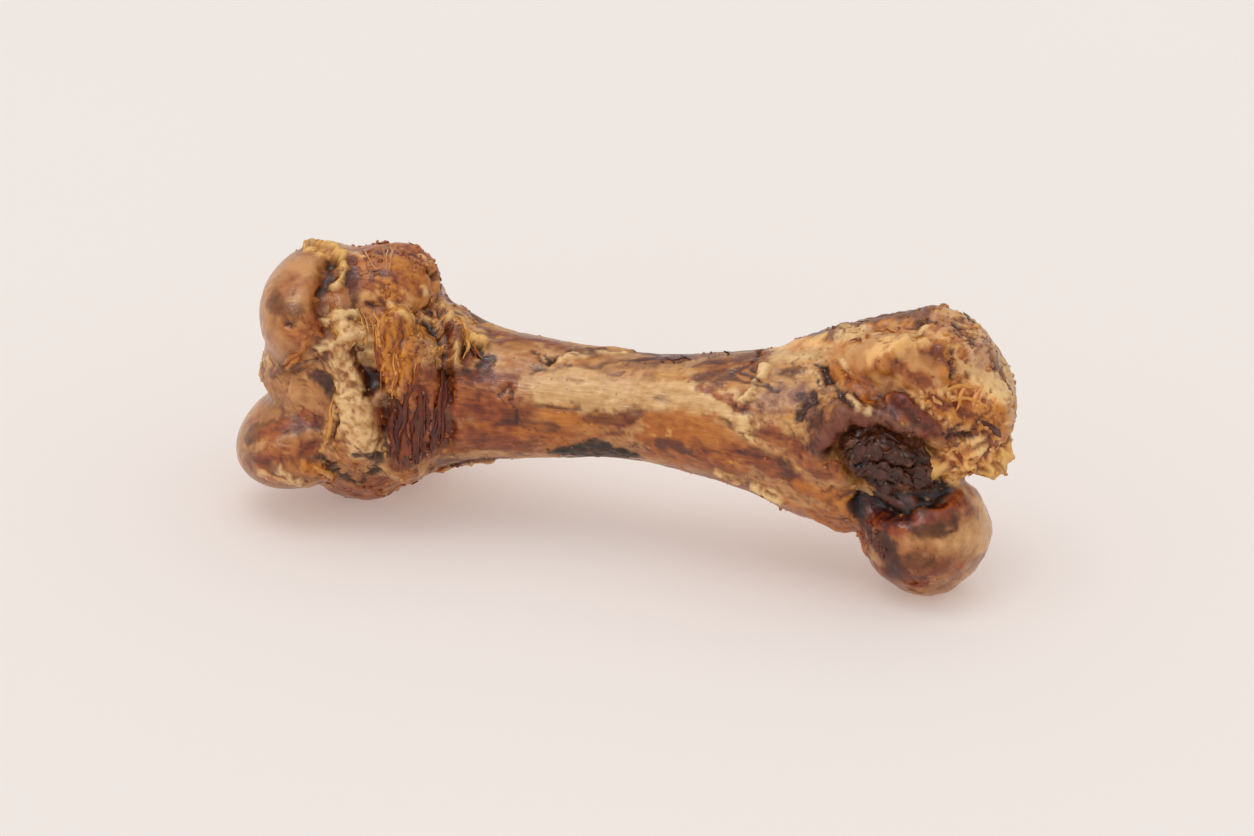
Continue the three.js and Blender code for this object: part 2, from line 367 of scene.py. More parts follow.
def skin(forms, start, low, high, cell, extra=None, easing=2):
    axes = [np.arange(low[m], high[m] + cell, cell) for m in range(3)]
    F = combine_grid(axes, forms, start)
    field = lambda P: combine(P, forms, start)
    if extra is not None:
        X = np.stack(np.meshgrid(*axes, indexing="ij"), -1)
        F = extra(X, F)
        field = lambda P: extra(P, combine(P, forms, start))
    P, Q = net(F, np.array(low, float), cell)
    E = adjacency(Q)
    P = settle(field, P, 1)
    for _ in range(easing):
        P = P + 0.6 * (spread(P, E, len(P)) - P)
        P = settle(field, P, 1)
    G = gradient(field, P)
    N = G / (np.linalg.norm(G, axis=-1, keepdims=True) + 1e-9)
    return P, N, Q, E


def mesh_normals(P, Q):
    d1, d2 = P[Q[:, 2]] - P[Q[:, 0]], P[Q[:, 3]] - P[Q[:, 1]]
    fn = np.cross(d1, d2)
    N = np.zeros_like(P)
    for c in range(4):
        for k in range(3):
            N[:, k] += np.bincount(Q[:, c], fn[:, k], len(P))
    return N / (np.linalg.norm(N, axis=-1, keepdims=True) + 1e-12)


def hex3(c):
    return np.array([int(c[i:i + 2], 16) for i in (0, 2, 4)], float) / 255


def linear(c):
    c = np.clip(c, 0, 1)
    return np.where(c <= 0.04045, c / 12.92, ((c + 0.055) / 1.055) ** 2.4)


def make_object(name, P, faces, attributes=None, smooth_shade=True):
    mesh = bpy.data.meshes.new(name)
    V = (P - MIDDLE) / 1000.0
    F = np.asarray(faces)
    k = F.shape[1]
    mesh.vertices.add(len(V))
    mesh.vertices.foreach_set("co", V.astype(np.float32).ravel())
    mesh.loops.add(F.size)
    mesh.loops.foreach_set("vertex_index", F.astype(np.int32).ravel())
    mesh.polygons.add(len(F))
    mesh.polygons.foreach_set("loop_start", np.arange(0, F.size, k, dtype=np.int32))
    mesh.polygons.foreach_set("use_smooth", np.full(len(F), smooth_shade))
    mesh.update(calc_edges=True)
    mesh.validate()
    for key, val in (attributes or {}).items():
        val = np.asarray(val, np.float32)
        if val.ndim == 1:
            a = mesh.attributes.new(key, "FLOAT", "POINT")
            a.data.foreach_set("value", val)
        elif key.startswith("c_"):
            a = mesh.attributes.new(key, "FLOAT_COLOR", "POINT")
            a.data.foreach_set("color", np.concatenate([val, np.ones((len(val), 1), np.float32)], 1).ravel())
        else:
            a = mesh.attributes.new(key, "FLOAT_VECTOR", "POINT")
            a.data.foreach_set("vector", val.ravel())
    ob = bpy.data.objects.new(name, mesh)
    bpy.context.scene.collection.objects.link(ob)
    return ob

# ---- tissues: dark, middle and light colour, grain, roughness --------------------
# Grain: h lengthwise, v upright fibres, l lumpy gristle, s spongy bone, w wrinkled,
# m smooth cartilage.
TISSUES = {
    "bone": ("a0703f", "c69c68", "dfbd8c", "h", 0.50),
    "chalk": ("b89a78", "d8bf9c", "efe2c6", "h", 0.50),
    "amber": ("8f5226", "b3702f", "cf9440", "h", 0.40),
    "rust": ("5c2a1c", "985334", "c28650", "h", 0.44),
    "maroon": ("2c1416", "52282a", "7c423c", "h", 0.38),
    "mauve": ("3a2426", "5c3c3a", "8a645c", "w", 0.42),
    "char": ("14100f", "1d1716", "3a2c26", "l", 0.62),
    "gristle": ("8e6240", "cfac80", "f4e6c8", "l", 0.38),
    "strap": ("3a1c18", "5c2e24", "8a4830", "v", 0.42),
    "fibre": ("6a3a1c", "a96a2e", "cf9440", "v", 0.38),
    "cartilage": ("84583a", "b48860", "d0a880", "m", 0.36),
    "mottle": ("3a2416", "6a4228", "94683f", "m", 0.44),
    "mound": ("8c5040", "cc986a", "efd4ac", "w", 0.36),
    "flesh": ("9c5c32", "dca670", "f8dcac", "m", 0.32),
    "sponge": ("8e4826", "e8ac6c", "ffecc0", "s", 0.38),
    # near-black painted shade, laid in cracks, pits and the cavity round the wad
    "crevice_shade": ("060403", "1c0f0b", "40241c", "w", 0.50),
    "lilac": ("8a6460", "b49284", "d6bcae", "w", 0.36),
    "gold": ("b07c40", "daac68", "f2d698", "l", 0.42),
    "ballrust": ("4a2014", "854122", "b06030", "m", 0.36),
    "ball": ("74462e", "ae8460", "dfc2a0", "m", 0.38),
    "wad": ("1e1010", "4a2c28", "7c564a", "w", 0.46),
}
GRAINS = "hvlswm"

# What each form of the ends is made of, in the order of KNEE_END and HIP_END.
KNEE_TISSUE = ["cartilage", "cartilage", "cartilage", "gristle", "rust", "rust", "cartilage",
               "cartilage", "cartilage", "gristle", "gristle", "strap", "fibre", "rust", "rust", "rust"]
# The carved hollows round the wad, the last two forms, take the near-black tissue: painted shade in the cavity.
HIP_TISSUE = ["mound", "sponge", "sponge", "flesh", "flesh", "mauve", "rust", "ball",
              "mauve", "mauve", "maroon", "crevice_shade", "crevice_shade"]

# Bands along the shaft: tissue, from and to along x, from and to round the bone in
# degrees (0 towards the side that shows, 90 up), cover.
BANDS = [
    ("rust", -72, -26, -80, 72, 0.95),
    ("maroon", -58, -34, 30, 64, 0.5),
    ("bone", -50, -20, 66, 100, 0.5),
    ("chalk", -31, 17, 24, 60, 0.75),
    ("lilac", -2, 9, 50, 80, 0.5),
    ("amber", -24, 30, -9, 19, 0.8),
    ("rust", -22, 32, -24, -9, 0.65),
    ("rust", 2, 44, -60, 4, 0.75),
    ("chalk", -38, -18, -40, -17, 0.6),
    ("maroon", -54, 36, -105, -55, 0.6),
    ("maroon", 0, 40, 72, 124, 0.92),
    ("maroon", -36, -10, 72, 100, 0.6),
    ("maroon", -70, -36, -64, 30, 0.55),
    ("chalk", 36, 60, 40, 78, 0.6),
    ("rust", 34, 62, -60, -4, 0.7),
    ("amber", -50, -4, 118, 150, 0.5),
    ("rust", -30, 40, 150, 196, 0.6),
    ("chalk", -8, 44, 200, 236, 0.5),
]

# Scraps, stains, cracks and pits, each on a path over the bone: tissue, half width
# and relief in millimetres, tone, and the path's points as parts of the bone's box.
# Rows of the near-black tissue lay painted shade in cracks, pits and crevices.
FEATURES = [
    ("strap", 4.8, 0.3, 0.0, "0.244,0.143,0.539 0.242,0.127,0.432 0.245,0.114,0.334"),
    ("strap", 4.6, 0.3, 0.0, "0.278,0.206,0.631 0.277,0.184,0.512 0.272,0.171,0.387"),
    ("gristle", 4.6, 0.5, 0.3, "0.160,0.161,0.816 0.172,0.117,0.727 0.174,0.115,0.634"),
    ("gristle", 5.4, 0.4, 0.2, "0.176,0.085,0.526 0.189,0.053,0.456 0.203,0.065,0.377"),
    ("rust", 6.0, 0.1, 0.25, "0.161,0.400,0.968 0.196,0.425,0.979 0.226,0.461,0.962"),
    ("fibre", 4.6, 0.2, 0.0, "0.233,0.225,0.820 0.239,0.184,0.719 0.242,0.149,0.615"),
    ("sponge", 6.2, 0.0, 0.2, "0.915,0.287,0.744 0.949,0.332,0.747 0.987,0.398,0.691"),
    ("sponge", 4.6, 0.0, 0.3, "0.946,0.299,0.544 0.965,0.322,0.527 0.981,0.384,0.524"),
    ("chalk", 4.0, 0.1, 0.0, "0.419,0.283,0.592 0.490,0.296,0.591 0.606,0.291,0.654 0.658,0.259,0.655"),
    ("maroon", 1.5, 0.1, 0.0, "0.522,0.455,0.690 0.562,0.498,0.704 0.645,0.565,0.734 0.674,0.544,0.759"),
    ("bone", 1.6, 0.4, 0.0, "0.431,0.389,0.676 0.448,0.464,0.694 0.472,0.548,0.685 0.505,0.554,0.682"),
    ("rust", 1.9, 0.15, -0.3, "0.345,0.430,0.692 0.359,0.493,0.698 0.377,0.504,0.696 0.413,0.496,0.697"),
    ("lilac", 1.2, 0.2, -0.5, "0.399,0.531,0.695 0.414,0.539,0.693 0.426,0.499,0.697"),
    ("crevice_shade", 0.7, -1.3, 0.0, "0.391,0.420,0.685 0.403,0.397,0.678 0.413,0.386,0.674 0.421,0.410,0.684"),
    ("crevice_shade", 0.5, -0.8, 0.0, "0.406,0.421,0.686 0.419,0.393,0.678 0.416,0.372,0.668"),
    ("maroon", 0.6, -0.7, -0.5, "0.359,0.265,0.568 0.371,0.286,0.597 0.377,0.266,0.567 0.387,0.244,0.464"),
    ("maroon", 0.4, -0.6, 0.0, "0.332,0.243,0.554 0.341,0.245,0.541 0.349,0.243,0.525"),
    ("mound", 1.3, 0.5, 0.0, "0.308,0.368,0.231 0.326,0.355,0.253 0.334,0.368,0.254"),
    ("chalk", 0.7, 0.6, 0.0, "0.300,0.369,0.223 0.313,0.354,0.243"),
    ("char", 2.6, 0.2, 0.0, "0.430,0.309,0.347 0.480,0.334,0.349 0.534,0.313,0.371"),
    ("crevice_shade", 0.6, 0.2, 0.0, "0.529,0.280,0.419 0.537,0.267,0.443 0.540,0.274,0.421"),
    ("chalk", 1.3, 0.5, 0.0, "0.674,0.251,0.656 0.684,0.280,0.696 0.690,0.325,0.735 0.693,0.379,0.763"),
    ("crevice_shade", 0.8, -1.4, 0.0, "0.670,0.540,0.757 0.681,0.470,0.771"),
    ("crevice_shade", 0.6, -1.0, 0.5, "0.675,0.387,0.753 0.682,0.363,0.749"),
    ("maroon", 0.4, -0.6, -0.5, "0.690,0.482,0.778 0.690,0.549,0.768"),
    ("maroon", 0.4, -0.5, -0.5, "0.669,0.324,0.720 0.672,0.316,0.716"),
    ("gristle", 4.2, 0.3, 0.0, "0.685,0.212,0.591 0.701,0.202,0.579 0.718,0.194,0.566"),
    ("gristle", 1.2, 0.7, -0.5, "0.643,0.255,0.376 0.659,0.261,0.356 0.677,0.265,0.338"),
    ("gristle", 1.3, 0.8, 0.0, "0.695,0.246,0.345 0.712,0.240,0.331 0.733,0.232,0.311"),
    ("lilac", 4.2, 0.0, -0.5, "0.712,0.247,0.679 0.731,0.253,0.699 0.749,0.261,0.718"),
    ("crevice_shade", 1.5, -1.0, 0.5, "0.750,0.215,0.653 0.758,0.238,0.694 0.764,0.252,0.714"),
    ("mauve", 1.7, 0.2, 0.0, "0.742,0.496,0.834 0.783,0.542,0.887 0.833,0.603,0.935 0.887,0.588,0.977"),
    ("fibre", 1.5, 0.5, 0.0, "0.790,0.454,0.872 0.810,0.484,0.903 0.851,0.529,0.951 0.869,0.494,0.955"),
    ("cartilage", 5.3, 0.3, 0.5, "0.815,0.310,0.849 0.831,0.304,0.883 0.846,0.317,0.911"),
    ("mottle", 0.5, -0.7, 0.0, "0.838,0.347,0.921 0.849,0.322,0.915 0.859,0.319,0.916 0.864,0.338,0.926"),
    ("chalk", 0.9, 0.8, 0.5, "0.860,0.336,0.925 0.870,0.375,0.938 0.880,0.424,0.942 0.887,0.472,0.951"),
    ("cartilage", 6.1, 0.5, 0.0, "0.873,0.280,0.874 0.891,0.292,0.869 0.908,0.315,0.861"),
    ("cartilage", 1.2, 0.5, 0.0, "0.858,0.293,0.895 0.874,0.342,0.925 0.894,0.380,0.926 0.914,0.385,0.905"),
    ("maroon", 0.7, -0.6, 0.0, "0.911,0.349,0.887 0.921,0.352,0.867 0.929,0.344,0.835"),
    ("maroon", 0.9, -0.9, 0.0, "0.760,0.361,0.802 0.780,0.292,0.767 0.804,0.205,0.748 0.821,0.166,0.720"),
    ("crevice_shade", 0.3, -0.5, 0.0, "0.764,0.366,0.810 0.783,0.321,0.796 0.800,0.277,0.765 0.817,0.205,0.753"),
    ("maroon", 0.3, -0.5, -0.5, "0.757,0.339,0.786 0.765,0.302,0.765 0.774,0.283,0.752"),
    ("gristle", 1.2, 0.5, -0.5, "0.793,0.346,0.828 0.802,0.320,0.818"),
    ("crevice_shade", 0.6, -0.6, 0.5, "0.802,0.299,0.788 0.809,0.273,0.770"),
    ("maroon", 0.4, -0.5, -0.5, "0.838,0.185,0.723 0.848,0.184,0.712"),
    ("rust", 1.9, 0.4, -0.5, "0.863,0.209,0.754 0.885,0.189,0.724 0.903,0.214,0.683 0.929,0.243,0.644"),
    ("maroon", 1.3, 0.5, 0.5, "0.873,0.227,0.770 0.886,0.204,0.742 0.900,0.216,0.705"),
    ("chalk", 0.4, 0.5, 0.0, "0.879,0.231,0.770 0.895,0.221,0.735 0.911,0.237,0.693"),
    ("sponge", 1.1, -0.5, -0.5, "0.934,0.248,0.636 0.959,0.321,0.617 0.989,0.391,0.610"),
    ("gold", 1.7, 0.7, 0.0, "0.900,0.327,0.553 0.908,0.327,0.517 0.922,0.312,0.482"),
    ("sponge", 5.1, 0.1, 0.0, "0.949,0.296,0.525 0.958,0.308,0.528 0.966,0.326,0.529"),
    ("sponge", 0.9, -0.6, -0.5, "0.941,0.290,0.561 0.950,0.296,0.508 0.960,0.337,0.464"),
    ("gold", 1.6, 0.6, 0.0, "0.973,0.373,0.480 0.984,0.425,0.508 0.991,0.467,0.533 0.995,0.470,0.556"),
    ("mauve", 1.9, 0.3, 0.5, "0.949,0.526,0.904 0.961,0.537,0.874 0.965,0.512,0.854"),
    ("chalk", 2.4, 0.1, 0.0, "0.979,0.546,0.808 0.987,0.582,0.760 0.991,0.479,0.738"),
    ("mauve", 2.4, 0.3, 0.0, "0.770,0.164,0.511 0.776,0.161,0.569 0.801,0.161,0.683 0.818,0.161,0.713"),
    ("crevice_shade", 1.2, -1.0, 0.0, "0.799,0.230,0.605 0.816,0.309,0.596 0.874,0.340,0.592 0.908,0.238,0.614"),
    ("crevice_shade", 1.2, -0.8, 0.5, "0.789,0.175,0.553 0.795,0.215,0.586 0.802,0.260,0.595"),
    ("amber", 2.0, 0.2, 0.0, "0.739,0.223,0.317 0.769,0.231,0.279 0.800,0.300,0.200 0.789,0.279,0.217"),
    ("crevice_shade", 4.6, -1.2, -0.5, "0.842,0.193,0.355 0.889,0.201,0.392 0.934,0.248,0.412"),
    ("crevice_shade", 1.9, -0.3, 0.5, "0.809,0.207,0.298 0.820,0.229,0.262 0.833,0.223,0.223 0.845,0.171,0.194"),
    ("ballrust", 2.4, 0.1, 0.5, "0.854,0.165,0.311 0.877,0.118,0.317 0.897,0.112,0.336"),
    ("ballrust", 1.3, 0.2, 0.0, "0.915,0.102,0.128 0.928,0.098,0.159 0.944,0.113,0.183"),
    ("mottle", 0.8, 0.5, 0.0, "0.898,0.152,0.063 0.910,0.156,0.058 0.924,0.138,0.084"),
    ("maroon", 0.8, -1.3, 0.0, "0.104,0.055,0.826 0.109,0.051,0.814"),
    ("maroon", 0.5, -0.5, 0.5, "0.112,0.059,0.836 0.116,0.055,0.823"),
    ("amber", 0.9, 1.2, 0.0, "0.091,0.125,0.622 0.113,0.066,0.700 0.128,0.060,0.755"),
    ("rust", 0.6, 0.7, 0.0, "0.128,0.067,0.800 0.136,0.088,0.787 0.144,0.107,0.775"),
    ("mound", 0.5, 0.5, 0.5, "0.122,0.050,0.772 0.128,0.063,0.785"),
    ("mauve", 1.5, -0.5, 0.0, "0.130,0.368,0.984 0.136,0.317,0.957 0.136,0.260,0.922 0.132,0.205,0.900"),
    ("maroon", 0.9, -1.2, -0.5, "0.143,0.172,0.845 0.149,0.163,0.827"),
    ("gold", 1.3, 1.3, 0.0, "0.088,0.420,0.991 0.103,0.436,0.999 0.122,0.413,0.997 0.141,0.382,0.975"),
    ("gold", 0.8, 0.8, 0.0, "0.103,0.366,0.999 0.118,0.353,0.993 0.130,0.368,0.984"),
    ("gristle", 1.2, 1.1, 0.0, "0.140,0.366,0.972 0.149,0.338,0.954 0.150,0.291,0.931 0.147,0.266,0.915"),
    ("mound", 1.2, 0.4, 0.0, "0.131,0.490,0.982 0.149,0.457,0.976 0.165,0.411,0.973"),
    ("crevice_shade", 0.5, -1.6, 0.0, "0.197,0.560,0.985 0.205,0.535,0.984 0.234,0.491,0.954 0.244,0.496,0.932"),
    ("rust", 0.8, 0.5, -0.5, "0.215,0.584,0.968 0.214,0.611,0.961 0.228,0.588,0.951"),
    ("mound", 1.1, 0.7, 0.0, "0.227,0.555,0.961 0.236,0.553,0.945 0.239,0.486,0.942"),
    ("char", 1.2, -3.0, -0.5, "0.246,0.497,0.925 0.253,0.504,0.893 0.254,0.473,0.881"),
    ("chalk", 1.1, 1.0, 0.0, "0.246,0.412,0.891 0.248,0.414,0.868"),
    ("strap", 1.6, 0.2, 0.5, "0.255,0.506,0.862 0.246,0.684,0.756 0.271,0.581,0.761"),
    ("mound", 4.3, 0.0, 0.0, "0.176,0.266,0.852 0.225,0.270,0.845 0.256,0.439,0.771"),
    ("mottle", 0.9, -0.5, 0.0, "0.184,0.283,0.852 0.193,0.290,0.837"),
    ("gristle", 0.5, 0.5, 0.5, "0.234,0.355,0.837 0.237,0.398,0.806"),
    ("gristle", 1.6, 0.6, 0.0, "0.149,0.163,0.827 0.166,0.194,0.838 0.175,0.216,0.826"),
    ("mottle", 0.7, -0.6, 0.0, "0.173,0.186,0.820 0.183,0.193,0.797"),
    ("gristle", 1.1, 0.7, 0.5, "0.141,0.087,0.726 0.154,0.107,0.740 0.168,0.129,0.768 0.185,0.173,0.778"),
    ("chalk", 1.1, 0.8, 0.5, "0.181,0.125,0.664 0.187,0.136,0.647 0.183,0.126,0.625"),
    ("crevice_shade", 0.5, -1.0, 0.5, "0.120,0.088,0.675 0.131,0.096,0.676 0.138,0.101,0.673"),
    ("strap", 3.6, -1.8, 0.0, "0.190,0.155,0.717 0.197,0.157,0.650 0.206,0.144,0.590"),
    ("fibre", 0.4, 1.6, 0.5, "0.187,0.147,0.722 0.199,0.178,0.699 0.207,0.173,0.672"),
    ("crevice_shade", 0.6, -0.8, 0.0, "0.194,0.147,0.637 0.204,0.146,0.602 0.203,0.135,0.566"),
    ("fibre", 0.4, 1.2, 0.5, "0.206,0.162,0.644 0.215,0.145,0.598"),
    ("fibre", 5.5, 0.2, 0.0, "0.236,0.222,0.806 0.238,0.184,0.720 0.239,0.153,0.632"),
    ("fibre", 0.8, 0.5, 0.5, "0.222,0.201,0.793 0.226,0.180,0.724 0.230,0.156,0.648"),
    ("fibre", 1.5, 0.6, 0.5, "0.241,0.189,0.726 0.250,0.172,0.688 0.249,0.157,0.630"),
    ("strap", 0.9, -0.5, 0.5, "0.233,0.225,0.820 0.239,0.213,0.772 0.236,0.185,0.726"),
    ("strap", 0.5, -0.8, 0.0, "0.229,0.178,0.717 0.235,0.161,0.663 0.239,0.150,0.621"),
    ("fibre", 0.7, 0.6, 0.5, "0.217,0.187,0.733 0.222,0.167,0.679 0.226,0.147,0.617"),
    ("gold", 0.8, 0.5, 0.0, "0.229,0.140,0.589 0.239,0.142,0.577 0.247,0.152,0.615"),
    ("strap", 1.6, 0.4, 0.5, "0.278,0.202,0.601 0.277,0.181,0.465 0.269,0.165,0.356"),
    ("crevice_shade", 1.5, -0.6, 0.0, "0.255,0.125,0.334 0.261,0.137,0.316"),
    ("crevice_shade", 1.2, -1.6, 0.0, "0.248,0.392,0.765 0.262,0.365,0.740 0.289,0.279,0.663 0.294,0.252,0.612"),
    ("char", 1.2, -1.6, 0.0, "0.290,0.244,0.613 0.298,0.237,0.579 0.296,0.221,0.545"),
    ("mound", 1.6, 1.1, -0.5, "0.258,0.479,0.777 0.272,0.443,0.755 0.299,0.337,0.685 0.298,0.288,0.648"),
    ("gristle", 0.5, 1.6, 0.0, "0.270,0.466,0.762 0.285,0.421,0.736 0.298,0.370,0.704 0.301,0.303,0.659"),
    ("gold", 0.4, 0.9, 0.0, "0.260,0.429,0.764 0.273,0.378,0.732 0.283,0.310,0.697"),
    ("gold", 1.6, 0.9, -0.5, "0.294,0.440,0.733 0.310,0.436,0.716 0.329,0.407,0.694"),
    ("maroon", 1.1, -1.2, 0.0, "0.297,0.398,0.717 0.306,0.372,0.699 0.307,0.332,0.674"),
    ("maroon", 1.6, -0.3, -0.5, "0.322,0.367,0.683 0.333,0.344,0.663 0.330,0.319,0.648"),
    ("rust", 1.9, 0.1, 0.0, "0.262,0.608,0.765 0.285,0.569,0.747 0.313,0.536,0.721 0.343,0.507,0.702"),
    ("mauve", 1.2, 0.3, -0.5, "0.049,0.219,0.504 0.059,0.178,0.558 0.088,0.131,0.611 0.113,0.106,0.646"),
    ("bone", 0.9, 0.5, 0.0, "0.154,0.103,0.543 0.158,0.087,0.487 0.145,0.075,0.358 0.140,0.063,0.312"),
    ("mottle", 0.6, -0.8, 0.0, "0.161,0.093,0.526 0.166,0.066,0.466 0.157,0.072,0.396"),
    ("char", 1.3, -0.3, 0.5, "0.193,0.059,0.343 0.204,0.075,0.350 0.215,0.117,0.305 0.199,0.138,0.266"),
    ("char", 1.5, -0.4, 0.5, "0.140,0.063,0.305 0.160,0.162,0.199 0.174,0.202,0.156 0.211,0.148,0.250"),
    ("mound", 1.9, 0.2, 0.0, "0.065,0.024,0.224 0.094,0.029,0.210 0.113,0.113,0.161 0.116,0.298,0.087"),
    ("gristle", 1.0, 0.9, 0.0, "0.095,0.003,0.261 0.107,0.018,0.244 0.110,0.057,0.197"),
    ("amber", 1.9, 0.4, 0.0, "0.123,0.026,0.280 0.137,0.065,0.253 0.144,0.159,0.186"),
    ("rust", 1.6, 0.2, 0.0, "0.141,0.242,0.118 0.175,0.239,0.117 0.202,0.285,0.126 0.249,0.163,0.211"),
    ("crevice_shade", 0.4, -0.8, 0.5, "0.120,0.061,0.212 0.121,0.079,0.196"),
    ("crevice_shade", 0.4, -0.8, 0.5, "0.128,0.133,0.175 0.116,0.258,0.111"),
    ("crevice_shade", 0.5, -0.8, 0.0, "0.144,0.245,0.114 0.152,0.243,0.110"),
    ("crevice_shade", 0.4, -0.8, 0.5, "0.164,0.237,0.113 0.168,0.244,0.108"),
    ("crevice_shade", 0.4, -0.8, 0.5, "0.177,0.249,0.109 0.180,0.263,0.101"),
    ("rust", 0.8, 0.5, -0.5, "0.152,0.279,0.076 0.159,0.298,0.059 0.158,0.312,0.049"),
    ("gold", 1.8, 0.40, 0.2, "0.096,0.367,0.996 0.107,0.400,1.000 0.124,0.391,0.994 0.139,0.377,0.976"),
    ("gold", 1.2, 0.35, 0.2, "0.141,0.357,0.968 0.151,0.331,0.949 0.152,0.282,0.924"),
    ("mound", 2.4, 0.75, 0.2, "0.260,0.488,0.775 0.277,0.443,0.750 0.293,0.382,0.714 0.299,0.322,0.675 0.296,0.282,0.645"),
    ("gold", 1.7, 0.50, 0.2, "0.296,0.419,0.725 0.312,0.420,0.711 0.327,0.399,0.693"),
    ("rust", 1.9, 0.45, 0.2, "0.194,0.534,0.989 0.211,0.529,0.980 0.224,0.508,0.968 0.234,0.496,0.953"),
    ("rust", 1.3, 0.50, 0.2, "0.239,0.534,0.941 0.247,0.536,0.920 0.254,0.522,0.887"),
    ("mauve", 2.9, 0.2, -0.7, "0.773,0.164,0.512 0.781,0.162,0.570 0.792,0.167,0.635 0.812,0.155,0.698"),
    ("mauve", 2.2, 0.2, -0.4, "0.812,0.155,0.698 0.837,0.176,0.695 0.865,0.193,0.677 0.895,0.203,0.661"),
    ("maroon", 1.1, 0.3, 0.1, "0.781,0.162,0.570 0.792,0.167,0.635 0.812,0.155,0.698 0.837,0.176,0.695"),
    ("maroon", 1.4, 0.7, 0.1, "0.864,0.238,0.773 0.884,0.200,0.742 0.903,0.218,0.697 0.922,0.238,0.658"),
    ("amber", 2.2, 0.9, 0.2, "0.855,0.278,0.877 0.867,0.315,0.913 0.886,0.356,0.924 0.905,0.367,0.908 0.918,0.349,0.874 0.923,0.328,0.831"),
    ("mauve", 2.2, 0.35, 0.2, "0.745,0.470,0.830 0.786,0.502,0.884 0.826,0.536,0.928 0.857,0.538,0.958 0.882,0.529,0.970"),
    ("rust", 1.4, 0.40, 0.2, "0.815,0.302,0.834 0.826,0.276,0.790 0.841,0.244,0.762 0.860,0.217,0.757"),
    ("chalk", 1.4, 0.35, 0.2, "0.674,0.247,0.650 0.684,0.277,0.693 0.691,0.325,0.736 0.694,0.378,0.764"),
    ("gold", 1.4, 0.50, 0.2, "0.909,0.306,0.565 0.916,0.313,0.526 0.924,0.305,0.494"),
    ("gold", 1.2, 0.50, 0.2, "0.969,0.338,0.499 0.979,0.379,0.509 0.988,0.429,0.532"),
    ("chalk", 1.2, 0.40, 0.2, "0.092,0.005,0.251 0.105,0.019,0.239 0.111,0.046,0.210"),
    ("gristle", 1.4, 0.35, 0.2, "0.646,0.243,0.390 0.660,0.246,0.374 0.675,0.252,0.354"),
    ("gristle", 1.6, 0.35, 0.2, "0.696,0.241,0.352 0.712,0.232,0.342 0.731,0.222,0.331"),
    ("ballrust", 1.2, 0.35, 0.2, "0.941,0.117,0.156 0.954,0.140,0.176 0.965,0.168,0.196"),
    ("maroon", 1.6, 0.40, 0.2, "0.917,0.093,0.148 0.930,0.096,0.173 0.944,0.111,0.196"),
    ("rust", 1.9, 0.35, 0.2, "0.810,0.197,0.319 0.821,0.228,0.263 0.833,0.226,0.213 0.843,0.183,0.180"),
    ("chalk", 1.2, 0.35, 0.2, "0.809,0.213,0.754 0.823,0.186,0.739 0.838,0.185,0.723"),
    ("rust", 1.6, 0.35, 0.2, "0.140,0.089,0.718 0.155,0.106,0.732 0.171,0.125,0.755"),
    ("chalk", 1.4, 0.50, 0.2, "0.141,0.087,0.726 0.157,0.112,0.747 0.171,0.131,0.768 0.185,0.171,0.775"),
    ("gristle", 1.6, 0.40, 0.2, "0.167,0.093,0.536 0.179,0.108,0.567 0.191,0.125,0.581"),
    ("maroon", 1.0, 0.1, 0.2, "0.347,0.433,0.692 0.364,0.480,0.696 0.383,0.500,0.696 0.409,0.483,0.696"),
    ("chalk", 1.3, 0.35, 0.2, "0.431,0.389,0.676 0.450,0.436,0.689 0.471,0.493,0.692 0.501,0.511,0.688"),
    ("char", 2.4, 0.2, 0.0, "0.439,0.303,0.357 0.469,0.295,0.384 0.497,0.297,0.395 0.528,0.307,0.380"),
    ("char", 1.6, 0.2, 0.0, "0.451,0.284,0.390 0.486,0.283,0.416 0.516,0.295,0.400"),
    ("crevice_shade", 1.2, -0.4, 0.3, "0.430,0.388,0.294 0.486,0.360,0.332 0.535,0.366,0.330"),
    ("maroon", 1.6, -0.3, -0.4, "0.319,0.372,0.688 0.334,0.355,0.668 0.346,0.342,0.653"),
    ("rust", 3.2, 0.0, -0.5, "0.294,0.222,0.552 0.326,0.224,0.507 0.363,0.241,0.436"),
    ("rust", 2.6, 0.0, -0.6, "0.302,0.255,0.606 0.340,0.291,0.615 0.375,0.292,0.604"),
    ("amber", 3.0, 0.0, -0.2, "0.325,0.223,0.428 0.389,0.250,0.426 0.441,0.260,0.435"),
    ("ballrust", 3.0, 0.1, -0.3, "0.851,0.171,0.308 0.877,0.118,0.317 0.900,0.112,0.337"),
    ("mottle", 4.2, 0.0, -0.8, "0.898,0.166,0.384 0.920,0.168,0.384 0.940,0.172,0.368"),
    ("mottle", 2.6, 0.0, -0.9, "0.910,0.110,0.334 0.930,0.114,0.318 0.948,0.139,0.307"),
    ("ballrust", 3.6, 0.1, -0.9, "0.839,0.196,0.308 0.868,0.169,0.362 0.896,0.198,0.393"),
    ("mottle", 3.0, 0.0, -0.3, "0.870,0.105,0.202 0.896,0.079,0.201 0.921,0.081,0.210"),
    ("ballrust", 2.4, 0.0, -0.6, "0.849,0.190,0.125 0.874,0.126,0.123 0.901,0.098,0.131"),
    ("ball", 3.0, 0.0, 0.9, "0.968,0.350,0.361 0.979,0.346,0.304 0.980,0.260,0.246"),
    ("ball", 3.4, 0.0, 0.5, "0.949,0.126,0.266 0.965,0.178,0.274 0.972,0.229,0.303"),
    ("mottle", 3.2, 0.0, -0.3, "0.042,0.088,0.344 0.070,0.074,0.393 0.100,0.076,0.420 0.133,0.098,0.433"),
    ("rust", 2.2, 0.0, -0.8, "0.075,0.051,0.380 0.100,0.076,0.420 0.122,0.097,0.437"),
    ("rust", 2.4, 0.1, -0.2, "0.061,0.018,0.282 0.099,0.007,0.334 0.131,0.054,0.353"),
